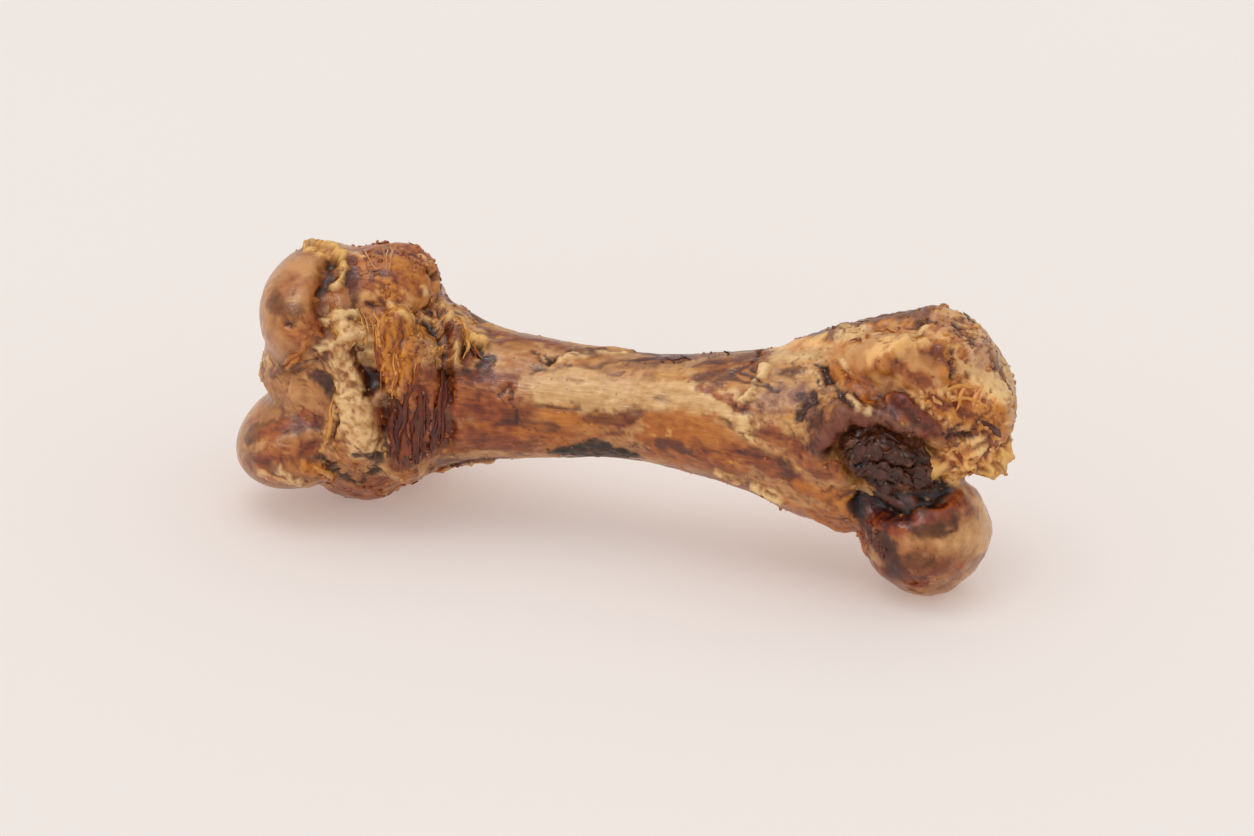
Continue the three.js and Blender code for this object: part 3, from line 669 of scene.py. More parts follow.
    ("mauve", 1.8, 0.2, -0.5, "0.058,0.184,0.505 0.074,0.150,0.590 0.113,0.106,0.646"),
    ("maroon", 2.3, 0.0, -0.1, "0.133,0.115,0.610 0.144,0.113,0.583 0.149,0.107,0.556"),
    ("rust", 3.4, 0.0, 0.1, "0.109,0.049,0.807 0.128,0.065,0.792 0.137,0.109,0.811"),
    ("cartilage", 4.0, 0.0, 0.6, "0.060,0.295,0.930 0.081,0.302,0.974 0.106,0.272,0.985"),
    ("mottle", 3.0, 0.0, 0.2, "0.076,0.132,0.882 0.098,0.082,0.869 0.115,0.070,0.856"),
    ("lilac", 2.0, 0.0, 0.2, "0.051,0.213,0.848 0.063,0.122,0.755 0.051,0.218,0.634"),
    ("maroon", 1.1, -0.8, -0.2, "0.768,0.348,0.803 0.795,0.261,0.754 0.820,0.172,0.728"),
    ("maroon", 1.5, -0.4, -0.4, "0.802,0.303,0.794 0.813,0.262,0.767 0.823,0.220,0.757"),
    ("maroon", 1.8, 0.3, 0.1, "0.868,0.245,0.780 0.890,0.213,0.740 0.912,0.231,0.680"),
    ("amber", 1.6, 0.4, 0.1, "0.853,0.272,0.863 0.867,0.308,0.908 0.888,0.355,0.922 0.910,0.362,0.897"),
    ("rust", 2.0, -0.3, -0.2, "0.870,0.275,0.868 0.883,0.270,0.837 0.902,0.285,0.816"),
    ("lilac", 2.6, 0.4, 0.2, "0.946,0.499,0.905 0.958,0.498,0.872 0.970,0.518,0.839"),
    ("lilac", 2.0, 0.3, -0.1, "0.989,0.411,0.702 0.997,0.446,0.646"),
    ("maroon", 1.0, -0.8, -0.2, "0.923,0.535,0.945 0.935,0.501,0.923 0.945,0.475,0.899"),
    ("amber", 2.4, 0.2, 0.3, "0.949,0.327,0.734 0.971,0.347,0.696 0.985,0.392,0.700"),
    ("gold", 1.8, 0.9, 0.5, "0.908,0.317,0.552 0.916,0.314,0.518 0.924,0.305,0.494"),
    ("gold", 1.6, 0.8, 0.5, "0.975,0.373,0.487 0.983,0.438,0.495 0.989,0.458,0.521"),
    ("maroon", 1.4, -0.9, -0.2, "0.934,0.248,0.636 0.954,0.314,0.611 0.979,0.354,0.620"),
    ("chalk", 3.6, 0.0, 0.2, "0.710,0.447,0.791 0.735,0.417,0.803 0.755,0.423,0.824"),
    ("chalk", 2.6, 0.0, 0.3, "0.619,0.295,0.665 0.653,0.256,0.647 0.679,0.215,0.595"),
    ("maroon", 2.2, 0.0, 0.1, "0.572,0.246,0.462 0.604,0.232,0.464 0.633,0.223,0.448"),
    ("rust", 3.0, 0.0, -0.4, "0.679,0.199,0.491 0.715,0.191,0.454 0.752,0.178,0.420"),
    ("maroon", 2.2, 0.1, -0.2, "0.736,0.179,0.491 0.744,0.178,0.440 0.757,0.180,0.397"),
    ("amber", 2.4, 0.1, 0.2, "0.757,0.178,0.406 0.790,0.175,0.382 0.817,0.183,0.367"),
    ("cartilage", 4.2, 0.0, 0.2, "0.067,0.159,0.528 0.099,0.118,0.556 0.127,0.109,0.538"),
    ("cartilage", 3.4, 0.0, 0.0, "0.033,0.236,0.397 0.083,0.130,0.489 0.118,0.109,0.479"),
    ("rust", 2.4, 0.0, -0.3, "0.063,0.056,0.365 0.100,0.076,0.420 0.135,0.104,0.447"),
    ("amber", 3.2, 0.2, -0.1, "0.924,0.295,0.737 0.951,0.314,0.678 0.981,0.359,0.627"),
    ("amber", 2.2, 0.1, 0.2, "0.988,0.390,0.664 0.994,0.429,0.589"),
    ("rust", 1.4, -0.5, -0.2, "0.912,0.287,0.751 0.934,0.304,0.722 0.957,0.326,0.699"),
    ("maroon", 0.8, -0.8, 0.0, "0.935,0.262,0.654 0.953,0.315,0.664 0.972,0.340,0.623"),
    ("gold", 2.2, 0.5, 0.5, "0.908,0.327,0.517 0.927,0.309,0.478 0.947,0.345,0.440"),
    ("gold", 1.8, 0.6, 0.6, "0.956,0.309,0.490 0.969,0.373,0.466 0.980,0.421,0.485"),
    ("chalk", 2.8, 0.2, 0.4, "0.957,0.412,0.827 0.976,0.431,0.782 0.989,0.444,0.735"),
    ("crevice_shade", 2.6, -0.9, 0.2, "0.834,0.189,0.371 0.871,0.167,0.364 0.903,0.201,0.395 0.925,0.278,0.427"),
    ("crevice_shade", 1.8, -0.4, 0.3, "0.827,0.194,0.335 0.834,0.208,0.277 0.847,0.165,0.261"),
    ("maroon", 2.0, 0.0, -0.2, "0.866,0.135,0.313 0.896,0.125,0.353 0.926,0.158,0.375"),
    ("ballrust", 2.6, 0.0, 0.0, "0.911,0.123,0.353 0.939,0.183,0.378 0.952,0.279,0.399"),
    ("rust", 1.6, 0.2, 0.0, "0.613,0.227,0.469 0.646,0.224,0.429 0.680,0.216,0.415"),
    ("maroon", 1.4, 0.1, 0.0, "0.476,0.585,0.674 0.518,0.550,0.684 0.553,0.559,0.690 0.574,0.550,0.700"),
    ("maroon", 1.0, 0.1, 0.1, "0.422,0.458,0.694 0.449,0.450,0.692 0.474,0.524,0.689"),
    ("mauve", 2.0, 0.0, 0.1, "0.160,0.310,0.928 0.170,0.287,0.893 0.170,0.238,0.855"),
    ("maroon", 1.4, 0.1, 0.0, "0.297,0.280,0.642 0.320,0.289,0.631 0.341,0.316,0.637"),
    ("maroon", 1.6, -0.1, 0.1, "0.230,0.343,0.863 0.244,0.431,0.813 0.263,0.449,0.766"),
    ("chalk", 2.6, 0.1, 0.3, "0.182,0.174,0.788 0.196,0.188,0.733 0.202,0.171,0.671"),
    ("mottle", 3.6, 0.0, -0.6, "0.863,0.118,0.248 0.878,0.093,0.210 0.888,0.092,0.160"),
    ("maroon", 2.4, 0.0, -0.2, "0.840,0.192,0.262 0.858,0.129,0.233 0.870,0.105,0.202"),
    ("ball", 3.0, 0.0, 0.8, "0.977,0.341,0.321 0.983,0.374,0.247 0.982,0.278,0.216"),
    ("flesh", 3.2, 0.1, 0.5, "0.844,0.294,0.889 0.861,0.327,0.921 0.881,0.354,0.927"),
    ("rust", 1.3, 0.3, 0.2, "0.833,0.275,0.832 0.855,0.278,0.877 0.875,0.269,0.850 0.888,0.268,0.794"),
    ("maroon", 1.2, -0.3, 0.1, "0.901,0.351,0.905 0.914,0.342,0.875 0.929,0.348,0.841"),
    ("lilac", 1.6, 0.1, 0.2, "0.939,0.456,0.903 0.947,0.438,0.875 0.958,0.434,0.842"),
    ("chalk", 2.2, 0.1, 0.4, "0.782,0.460,0.866 0.802,0.462,0.888 0.827,0.418,0.921"),
    ("rust", 5.0, 0.0, -0.4, "0.266,0.167,0.578 0.320,0.231,0.542 0.376,0.246,0.511"),
    ("rust", 4.6, 0.0, -0.4, "0.278,0.188,0.415 0.336,0.243,0.384 0.386,0.275,0.367"),
    ("rust", 3.2, 0.0, -0.3, "0.716,0.199,0.585 0.757,0.166,0.536 0.797,0.168,0.466"),
    ("mauve", 2.4, 0.0, -0.3, "0.756,0.257,0.717 0.767,0.217,0.675 0.783,0.171,0.638"),
    ("amber", 3.0, 0.1, 0.2, "0.211,0.410,0.966 0.239,0.441,0.934 0.255,0.485,0.861"),
    ("flesh", 2.6, 0.1, 0.3, "0.205,0.313,0.904 0.228,0.339,0.872 0.243,0.398,0.832"),
    ("maroon", 1.0, -0.3, 0.0, "0.179,0.454,0.987 0.203,0.483,0.985 0.224,0.533,0.968"),
    ("maroon", 1.2, 0.0, 0.1, "0.222,0.322,0.867 0.234,0.378,0.805 0.250,0.375,0.756"),
    ("amber", 2.2, 0.1, 0.4, "0.185,0.353,0.953 0.203,0.326,0.922 0.219,0.323,0.882"),
    ("maroon", 1.8, 0.0, 0.0, "0.281,0.382,0.726 0.299,0.362,0.700 0.312,0.337,0.674"),
    ("rust", 1.6, 0.0, -0.3, "0.618,0.308,0.675 0.651,0.276,0.669 0.680,0.237,0.641"),
    ("maroon", 0.7, -0.2, 0.0, "0.664,0.360,0.735 0.693,0.317,0.732 0.717,0.272,0.711"),
    ("gold", 1.6, 0.3, 0.3, "0.218,0.286,0.848 0.241,0.270,0.822 0.249,0.336,0.754"),
    ("maroon", 1.3, 0.1, 0.1, "0.150,0.423,0.972 0.163,0.350,0.947 0.164,0.294,0.912"),
    ("flesh", 3.0, 0.0, 0.4, "0.698,0.535,0.778 0.729,0.491,0.820 0.756,0.476,0.843"),
    ("amber", 2.0, 0.2, 0.1, "0.788,0.319,0.798 0.811,0.281,0.775 0.835,0.231,0.757"),
    ("maroon", 1.0, 0.0, 0.2, "0.979,0.501,0.802 0.990,0.500,0.753 0.995,0.472,0.711"),
]

# Swells (+) and hollows (-) between the forms: half width, relief, path.
SWELLS = [
    (2.6, -1.6, "0.820,0.182,0.376 0.847,0.193,0.367 0.883,0.166,0.378"),
    (2.0, 1.0, "0.807,0.199,0.473 0.815,0.176,0.423"),
    (3.0, 1.5, "0.855,0.275,0.870 0.867,0.308,0.908 0.886,0.351,0.922 0.907,0.368,0.905 0.923,0.328,0.831"),
    (2.0, -1.3, "0.817,0.295,0.826 0.839,0.234,0.758 0.866,0.203,0.750 0.894,0.199,0.701 0.920,0.231,0.645"),
    (5.0, 1.3, "0.821,0.301,0.856 0.843,0.300,0.895"),
    (1.7, -1.2, "0.864,0.314,0.913 0.861,0.275,0.872 0.859,0.259,0.817"),
    (2.2, 0.7, "0.745,0.470,0.830 0.786,0.502,0.884 0.826,0.536,0.928 0.879,0.522,0.968"),
    (2.0, -1.5, "0.129,0.341,0.977 0.131,0.243,0.922 0.136,0.176,0.865 0.150,0.131,0.792 0.138,0.083,0.727"),
    (2.0, 0.9, "0.139,0.082,0.393 0.117,0.040,0.377 0.085,0.007,0.328"),
    (2.4, -0.9, "0.136,0.062,0.351 0.109,0.011,0.337 0.077,0.003,0.286"),
    (1.5, -1.6, "0.225,0.141,0.548 0.222,0.116,0.429 0.223,0.114,0.293"),
    (1.7, -1.7, "0.295,0.267,0.630 0.296,0.215,0.523 0.292,0.229,0.356"),
    (1.6, -1.2, "0.264,0.645,0.752 0.301,0.570,0.728 0.338,0.497,0.704"),
    (4.0, -1.9, "0.935,0.328,0.789 0.950,0.344,0.766"),
    (3.2, -1.7, "0.949,0.300,0.537 0.961,0.315,0.497"),
    (3.4, 1.5, "0.916,0.313,0.526 0.922,0.305,0.508"),
    (2.6, 1.4, "0.980,0.410,0.490 0.988,0.429,0.532"),
    (3.2, 1.7, "0.772,0.165,0.504 0.782,0.162,0.579 0.798,0.166,0.649 0.818,0.157,0.703"),
    (2.6, 1.5, "0.818,0.157,0.703 0.851,0.189,0.688 0.886,0.188,0.675 0.915,0.226,0.645"),
    (2.8, 0.9, "0.736,0.220,0.325 0.771,0.232,0.276 0.804,0.291,0.205"),
    (2.6, -1.6, "0.834,0.199,0.320 0.859,0.163,0.330 0.890,0.142,0.367"),
    (3.6, 1.2, "0.949,0.489,0.895 0.959,0.490,0.868"),
    (3.6, -1.2, "0.928,0.534,0.939 0.943,0.502,0.911"),
    (3.0, 1.2, "0.992,0.438,0.708 0.997,0.448,0.660"),
    (3.4, 1.1, "0.176,0.185,0.813 0.189,0.227,0.787"),
    (4.2, 1.2, "0.178,0.085,0.527 0.198,0.078,0.498 0.210,0.079,0.431"),
    (3.0, -1.3, "0.185,0.141,0.723 0.181,0.125,0.656 0.158,0.106,0.575"),
    (2.4, -1.6, "0.203,0.166,0.657 0.207,0.145,0.595"),
    (4.0, 1.1, "0.163,0.400,0.969 0.204,0.423,0.975"),
    (2.2, -1.3, "0.193,0.568,0.985 0.222,0.524,0.970 0.239,0.486,0.942"),
    (3.6, 1.0, "0.208,0.623,0.962 0.228,0.588,0.951"),
    (2.4, -1.4, "0.138,0.105,0.655 0.144,0.112,0.599 0.152,0.102,0.527"),
    (2.6, 0.9, "0.045,0.221,0.537 0.098,0.114,0.637 0.135,0.103,0.663"),
    (3.2, 0.8, "0.249,0.583,0.785 0.274,0.496,0.761"),
    (3.0, 1.0, "0.276,0.404,0.739 0.296,0.341,0.690"),
    (4.0, 0.9, "0.106,0.009,0.263 0.130,0.090,0.208"),
    (5.0, 0.7, "0.345,0.430,0.692 0.390,0.508,0.696"),
    (2.4, -0.7, "0.329,0.299,0.632 0.379,0.351,0.655 0.430,0.378,0.672"),
    (6.0, -0.6, "0.440,0.273,0.573 0.542,0.296,0.611"),
    (2.0, 0.6, "0.538,0.338,0.649 0.618,0.308,0.675 0.678,0.255,0.664"),
    (3.0, -0.8, "0.685,0.353,0.746 0.720,0.296,0.734 0.762,0.279,0.741"),
    (2.4, 0.8, "0.719,0.427,0.794 0.757,0.332,0.781 0.796,0.218,0.740"),
]

# ---- what the skin is made of ------------------------------------------------------
BONE_LOW, BONE_HIGH = [np.array(v, float) * 1000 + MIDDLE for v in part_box("thigh_bone")]


def place(text):
    """Points of the working frame from parts of the bone's box."""
    f = np.array([[float(v) for v in p.split(",")] for p in text.split()])
    return BONE_LOW + f * (BONE_HIGH - BONE_LOW)


# The light adds a pale veil, so the colours underneath are deeper and warmer.
DEEPER = np.array([1.02, 0.765, 0.49])
PALETTE = {k: (np.array([np.clip(linear(hex3(c)) * DEEPER - np.array([0.005, 0.008, 0.010]), 0.002, 1) for c in v[:3]]), GRAINS.index(v[3]), v[4]) for k, v in TISSUES.items()}


class Paint:
    """Dark, middle and light colour, grain, roughness, relief and tone at each vertex."""

    def __init__(self, n):
        self.C = np.zeros((n, 9))
        self.G = np.zeros((n, 6))
        self.rough = np.zeros(n)
        self.relief = np.zeros(n)
        self.tone = np.zeros(n)

    def lay(self, tissue, w, at=None, tone=0.0, up=0.0):
        cols, g, rough = PALETTE[tissue]
        at = slice(None) if at is None else at
        w1 = w[:, None]
        self.C[at] = self.C[at] * (1 - w1) + cols.ravel() * w1
        G = self.G[at] * (1 - w1)
        G[:, g] += w
        self.G[at] = G
        self.rough[at] = self.rough[at] * (1 - w) + rough * w
        self.tone[at] = self.tone[at] * (1 - w) + tone * w
        self.relief[at] += up


def path_distance(P, path):
    best = np.full(len(P), 1e9)
    for a, b in zip(path[:-1], path[1:]):
        ab = b - a
        t = np.clip(((P - a) @ ab) / (ab @ ab + 1e-9), 0, 1)
        d = np.linalg.norm(P - a - t[:, None] * ab, axis=1)
        best = np.minimum(best, d)
    return best


def shaft_angle(P):
    K = np.array(SHAFT, float)
    cy = np.interp(P[:, 0], K[:, 0], K[:, 1])
    cz = np.interp(P[:, 0], K[:, 0], K[:, 2])
    return np.degrees(np.arctan2(P[:, 2] - cz, -(P[:, 1] - cy))) % 360


def base_tissues(paint, P):
    """Each vertex takes the tissue of the forms nearest to it, with ragged borders."""
    n = len(P)
    warp = np.stack([fbm(P * 0.16, 4, 3), fbm(P * 0.16, 4, 5), fbm(P * 0.16, 4, 7)], -1) * 4.0
    W = P + warp
    d = [(shaft_field(W), "bone", False)]
    for f, t in list(zip(KNEE_END, KNEE_TISSUE)) + list(zip(HIP_END, HIP_TISSUE)):
        e = oval_field(W, f) if f[0] == "oval" else limb_field(W, f)
        d.append((e, t, f[-1]))
    weights = [np.exp(-np.clip(np.abs(e) if carved else np.maximum(e, -1) , 0, 30) / 1.1) * (0.8 if carved else 1)
               for e, t, carved in d]
    total = sum(weights) + 1e-12
    C = np.zeros((n, 9))
    G = np.zeros((n, 6))
    R = np.zeros(n)
    for w, (e, t, _) in zip(weights, d):
        cols, g, rough = PALETTE[t]
        w = w / total
        C += w[:, None] * cols.ravel()
        G[:, g] += w
        R += w * rough
    paint.C, paint.G, paint.rough = C, G, R
    # bands round the shaft
    phi = shaft_angle(P)
    wob = fbm(P * np.array([0.05, 0.16, 0.16]), 4, 31) * 16
    wx = fbm(P * 0.07, 4, 37) * 18
    for t, x0, x1, a0, a1, cover in BANDS:
        mid, half = (a0 + a1) / 2, (a1 - a0) / 2
        da = np.abs((phi - mid + 180) % 360 - 180) + wob
        w = (1 - smooth(da, half - 5, half + 6)) * smooth(P[:, 0] + wx, x0 - 7, x0 + 7) * (1 - smooth(P[:, 0] + wx, x1 - 7, x1 + 7))
        paint.lay(t, w * cover * smooth(fbm(P * 0.2, 3, 41 + int(x0)), -0.75, -0.2))
    # old stains, wherever they fall
    k = smooth(fbm(P * 0.07, 4, 61), 0.16, 0.34)
    paint.lay("mottle", k * 0.35 * (1 - smooth(np.abs(P[:, 0]), 40, 60)) * smooth(phi, 120, 150) * (1 - smooth(phi, 300, 330)))
    k = smooth(fbm(P * 0.1, 4, 67), 0.12, 0.3)
    paint.lay("ballrust", k * 0.45 * smooth(P[:, 0], 70, 80) * (1 - smooth(P[:, 2], 30, 36)), tone=-0.2)
    k = smooth(fbm(P * 0.09, 4, 71), 0.14, 0.34)
    paint.lay("mottle", k * 0.4 * smooth(-P[:, 0], 72, 84))


# Patches of other tissue that break up each grain: tissue, size, level, cover, relief.
PATCHES = {
    "h": [("rust", 0.045, 0.06, 0.40, 0.0), ("amber", 0.04, 0.06, 0.50, 0.0), ("chalk", 0.05, 0.10, 0.45, 0.1),
          ("maroon", 0.07, 0.20, 0.7, -0.1), ("mottle", 0.11, 0.28, 0.4, -0.1), ("gold", 0.16, 0.26, 0.6, 0.3)],
    "v": [("fibre", 0.12, 0.20, 0.5, 0.2), ("maroon", 0.12, 0.12, 0.5, -0.2)],
    "l": [("gold", 0.13, 0.06, 0.6, 0.3), ("rust", 0.15, 0.08, 0.75, -0.4), ("maroon", 0.19, 0.16, 0.85, -0.9),
          ("mottle", 0.10, 0.20, 0.5, -0.3), ("fibre", 0.12, 0.14, 0.6, -0.2)],
    "s": [("fibre", 0.11, 0.08, 0.6, -0.2), ("gold", 0.14, 0.08, 0.65, 0.4), ("rust", 0.12, 0.12, 0.5, -0.3),
          ("maroon", 0.17, 0.20, 0.8, -1.0)],
    "w": [("rust", 0.08, 0.04, 0.7, 0.0), ("gold", 0.12, 0.14, 0.6, 0.4), ("lilac", 0.09, 0.12, 0.5, 0.2),
          ("maroon", 0.10, 0.13, 0.85, -0.5), ("fibre", 0.13, 0.16, 0.6, 0.2)],
    "m": [("mottle", 0.028, 0.08, 0.40, 0.0), ("rust", 0.035, 0.06, 0.45, 0.0), ("chalk", 0.03, 0.14, 0.4, 0.0),
          ("maroon", 0.05, 0.30, 0.4, 0.0)],
}


def lay_patches(paint, P):
    G = paint.G / (paint.G.sum(1, keepdims=True) + 1e-9)
    along = np.abs(P[:, 0]) < 300
    for g, rows in PATCHES.items():
        here = G[:, GRAINS.index(g)]
        stretch = np.array([0.42, 1.0, 1.0]) if g == "h" else (np.array([1.0, 1.0, 0.45]) if g == "v" else np.ones(3))
        for i, (tissue, size, level, cover, up) in enumerate(rows):
            seed = 500 + GRAINS.index(g) * 60 + i * 7
            Q = P * stretch * size * 1.6
            Q = Q + 0.45 * np.stack([noise(Q * 1.7, seed + 1), noise(Q * 1.7, seed + 2), noise(Q * 1.7, seed + 3)], -1)
            n = fbm(Q, 5, seed, 0.6)
            soft = 0.16 if g == "m" else (0.09 if g == "h" else 0.05)
            w = smooth(n, level - 0.4 * soft, level + soft) * here * cover
            paint.lay(tissue, w, tone=0.0, up=up * w)


def lay_veins(paint, P):
    """Thin dark red lines and creases, lengthwise along the shaft."""
    mid = 1 - smooth(np.abs(P[:, 0]), 50, 64)
    G5 = paint.G[:, 5] / (paint.G.sum(1) + 1e-9)
    for seed, size, cut, cover, up in ((601, 0.055, 0.955, 0.75, -0.35), (611, 0.11, 0.965, 0.7, -0.3), (621, 0.2, 0.97, 0.55, -0.2)):
        Q = P * size
        Q[:, 0] *= 1 - 0.65 * mid
        Q = Q + 0.35 * np.stack([noise(Q * 2.2, seed + 1), noise(Q * 2.2, seed + 2), noise(Q * 2.2, seed + 3)], -1)
        r = 1 - np.abs(noise(Q, seed)) * 1.6
        w = smooth(r, cut - 0.05, cut + 0.02) * smooth(noise(P * 0.06, seed + 5), -0.05, 0.35) * cover
        w = w * (1 - 0.9 * G5)
        paint.lay("maroon", w, tone=-0.3, up=up * w)


def lay_features(paint, P):
    n1 = noise(P * 0.9, 201)
    n2 = noise(P * 0.33, 211)
    bent = np.stack([noise(P * 0.3, 221 + k) * 1.5 + noise(P * 1.0, 227 + k) * 0.6 for k in range(3)], -1)
    for tissue, half, up, tone, text in FEATURES:
        path = place(text)
        far = half * 1.6 + 1.2
        near = np.where(np.all((P > path.min(0) - far) & (P < path.max(0) + far), 1))[0]
        if len(near) == 0:
            continue
        d = path_distance(P[near] + bent[near] * min(1.0, 0.35 + half * 0.4), path)
        wander = min(0.35 * half, 1.6)
        d = d + wander * (0.6 * n1[near] + n2[near])
        edge = 0.35 if half > 1.5 else 0.5
        w = 1 - smooth(d, half * (1 - edge), half * (1 + edge * 0.5))
        r = 1 - smooth(d, half * 0.3, half * (1 + 0.15)) if abs(up) > 0.25 else w
        paint.lay(tissue, w * 0.88, near, tone, up * (2.0 if up > 0.25 and half > 1.2 else 1.3) * r)


def grain_relief(P, paint):
    """Fine form in millimetres, and how light each spot is, from the grain: partly random, partly painted shade and
    highlight that darken the grain's valleys, crevices and pits and lighten its crests.
    """
    G = paint.G
    n = len(P)
    up = np.zeros(n)
    tone = np.zeros(n)

    # light: tone that follows the relief, painted shade in valleys and pits and painted highlight on crests, plus noise
    def add(g, relief, light):
        nonlocal up, tone
        up = up + G[:, g] * relief
        tone = tone + G[:, g] * light
    q = P * np.array([0.12, 1.0, 1.0])
    r = ridge(q * 0.55, 3, 301)
    f = fbm(P * 0.4, 4, 305)
    add(0, 0.14 * (r - 0.55) + 0.22 * f, 0.45 * (r - 0.55) + 0.7 * f)
    q = P * np.array([1.0, 0.5, 0.16]) + 1.2 * np.stack([noise(P * 0.16, 311), noise(P * 0.16, 313), 0 * f], -1)
    r = ridge(q * 0.62, 3, 317)
    add(1, 1.0 * (r - 0.6) + 0.3 * f, 2.6 * (r - 0.6) + 0.4 * f)
    warp = P + 0.9 * np.stack([noise(P * 0.6, 321), noise(P * 0.6, 323), noise(P * 0.6, 327)], -1)
    d1, d2, who = cells(warp * 0.30, 331)
    lump = smooth(d2 - d1, 0.0, 0.35)
    add(2, 0.55 * (lump - 0.6) + 0.45 * f + 0.25 * fbm(P * 1.1, 2, 337), 0.9 * (lump - 0.6) + 0.5 * (who - 0.5) + 0.6 * f)
    d1, d2, who = cells(warp * 0.52, 341)
    pit = 1 - smooth(d1, 0.16, 0.56)
    pit = pit * smooth(fbm(P * 0.13, 3, 343), -0.35, 0.05)
    big = fbm(P * 0.16, 3, 347)
    add(3, -1.9 * pit * smooth(big, -0.25, 0.2) + 0.9 * big + 0.7 * f + 0.4 * (r - 0.6), -1.3 * pit + 1.0 * big + 0.9 * f + 0.4 * (who - 0.5))
    q = warp * np.array([0.8, 0.8, 0.8])
    r2 = ridge(q * 0.28, 4, 351)
    add(4, 0.75 * (r2 - 0.6) + 0.35 * f, 1.8 * (r2 - 0.6) + 0.8 * f)
    f2 = fbm(P * 0.12, 4, 361)
    crack = 1 - smooth(np.abs(noise(warp * 0.16, 371)), 0.0, 0.03)
    crack = crack * smooth(noise(P * 0.09, 373), 0.1, 0.3)
    add(5, 0.25 * f2 + 0.05 * f - 0.04 * crack, 1.6 * f2 + 0.5 * f - 0.2 * crack)
    return up, tone


def mix_tone(C, t):
    """Colour at a tone from -1, dark, to 1, light."""
    d, m, l = C[:, :3], C[:, 3:6], C[:, 6:]
    t = np.clip(t, -1, 1)[:, None]
    return np.where(t < 0, m + (d - m) * -t, m + (l - m) * t)


def swell(P):
    """Relief of the swells and hollows between the forms."""
    out = np.zeros(len(P))
    bent = np.stack([noise(P * 0.14, 241 + k) * 1.8 + noise(P * 0.4, 247 + k) * 0.8 for k in range(3)], -1)
    for half, up, text in SWELLS:
        path = place(text)
        far = half * 2 + 3
        near = np.where(np.all((P > path.min(0) - far) & (P < path.max(0) + far), 1))[0]
        d = path_distance(P[near] + bent[near], path)
        out[near] += up * np.exp(-(d / half) ** 2 * 0.9)
    return out


def build_bone():
    low, high = BONE_LOW - 4, BONE_HIGH + 4
    P, N, Q, E = skin(KNEE_END + HIP_END, shaft_field, low, high, BONE_CELL)
    # broad unevenness first, then the features and their grain
    ends = 0.35 + 0.65 * smooth(np.abs(P[:, 0] + 2), 44, 62)
    rough_end = np.clip(1.3 - 1.2 * np.exp(-np.minimum(np.abs(oval_field(P, KNEE_END[1])), np.abs(oval_field(P, KNEE_END[2]))) / 3.0), 0.15, 1)
    P = P + N * (1.5 * ends * rough_end * (fbm(P * 0.075, 4, 11) + 0.45 * (ridge(P * 0.10, 3, 13) - 0.6)))[:, None]
    sw = swell(P)
    paint = Paint(len(P))
    base_tissues(paint, P)
    lay_patches(paint, P)
    lay_features(paint, P)
    lay_veins(paint, P)
    up, tone = grain_relief(P, paint)
    relief = up + paint.relief
    # painted shade and highlight: the swells lighter, the hollows between the forms darker
    tone = tone + 0.25 * np.clip(sw, -1.5, 1.0)
    # the trochanter and the torn knee are the palest and the most uneven
    hip = smooth(P[:, 0], 56, 68) * smooth(P[:, 2], 30, 42) * (1 - paint.G[:, 0])
    knee = smooth(-P[:, 0], 48, 60) * (1 - paint.G[:, 5])
    uneven = fbm(P * 0.22, 4, 381)
    tone = tone + hip * (0.58 + 1.6 * uneven) + knee * (0.14 + 1.0 * uneven)
    M = P + N * (relief + sw)[:, None]
    # painted shade and highlight: hollows darken where neighbours stand above them and raised spots lighten, and the
    # deep pits of the finished shape darken more
    mean = spread(relief, E, len(P))
    for _ in range(3):
        mean = spread(mean, E, len(P))
    painted_relief_shade = np.clip((relief - mean) * 0.9, -1, 0.6)
    tone = np.clip(tone + paint.tone + painted_relief_shade, -1, 1)
    # painted shade in the deep pits of the finished shape
    soft = M
    for _ in range(14):
        soft = soft + 0.7 * (spread(soft, E, len(M)) - soft)
    pit = ((soft - M) * N).sum(1)
    tone = np.clip(tone - 1.1 * np.clip(pit, -0.5, 1.0), -1, 1)
    # loosen the sharpest steps
    M = M + 0.35 * (spread(M, E, len(M)) - M)
    M[:, 2] = np.maximum(M[:, 2], 0.0)
    upright = paint.G[:, 1] / (paint.G.sum(1) + 1e-9)
    fibrous = (paint.G[:, 0] + paint.G[:, 1]) / (paint.G.sum(1) + 1e-9)
    C = paint.C
    return make_object("bone_skin", M, Q, {
        "c_dark": mix_tone(C, tone - 0.75), "c_mid": mix_tone(C, tone), "c_light": mix_tone(C, tone + 0.75),
        "upright": upright, "fibrous": fibrous, "rough": paint.rough,
        "smoothness": paint.G[:, 5], "spongy": paint.G[:, 3]}), M, Q, paint


bone, BONE_P, BONE_Q, BONE_PAINT = build_bone()
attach(bone, "root")
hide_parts("thigh_bone")


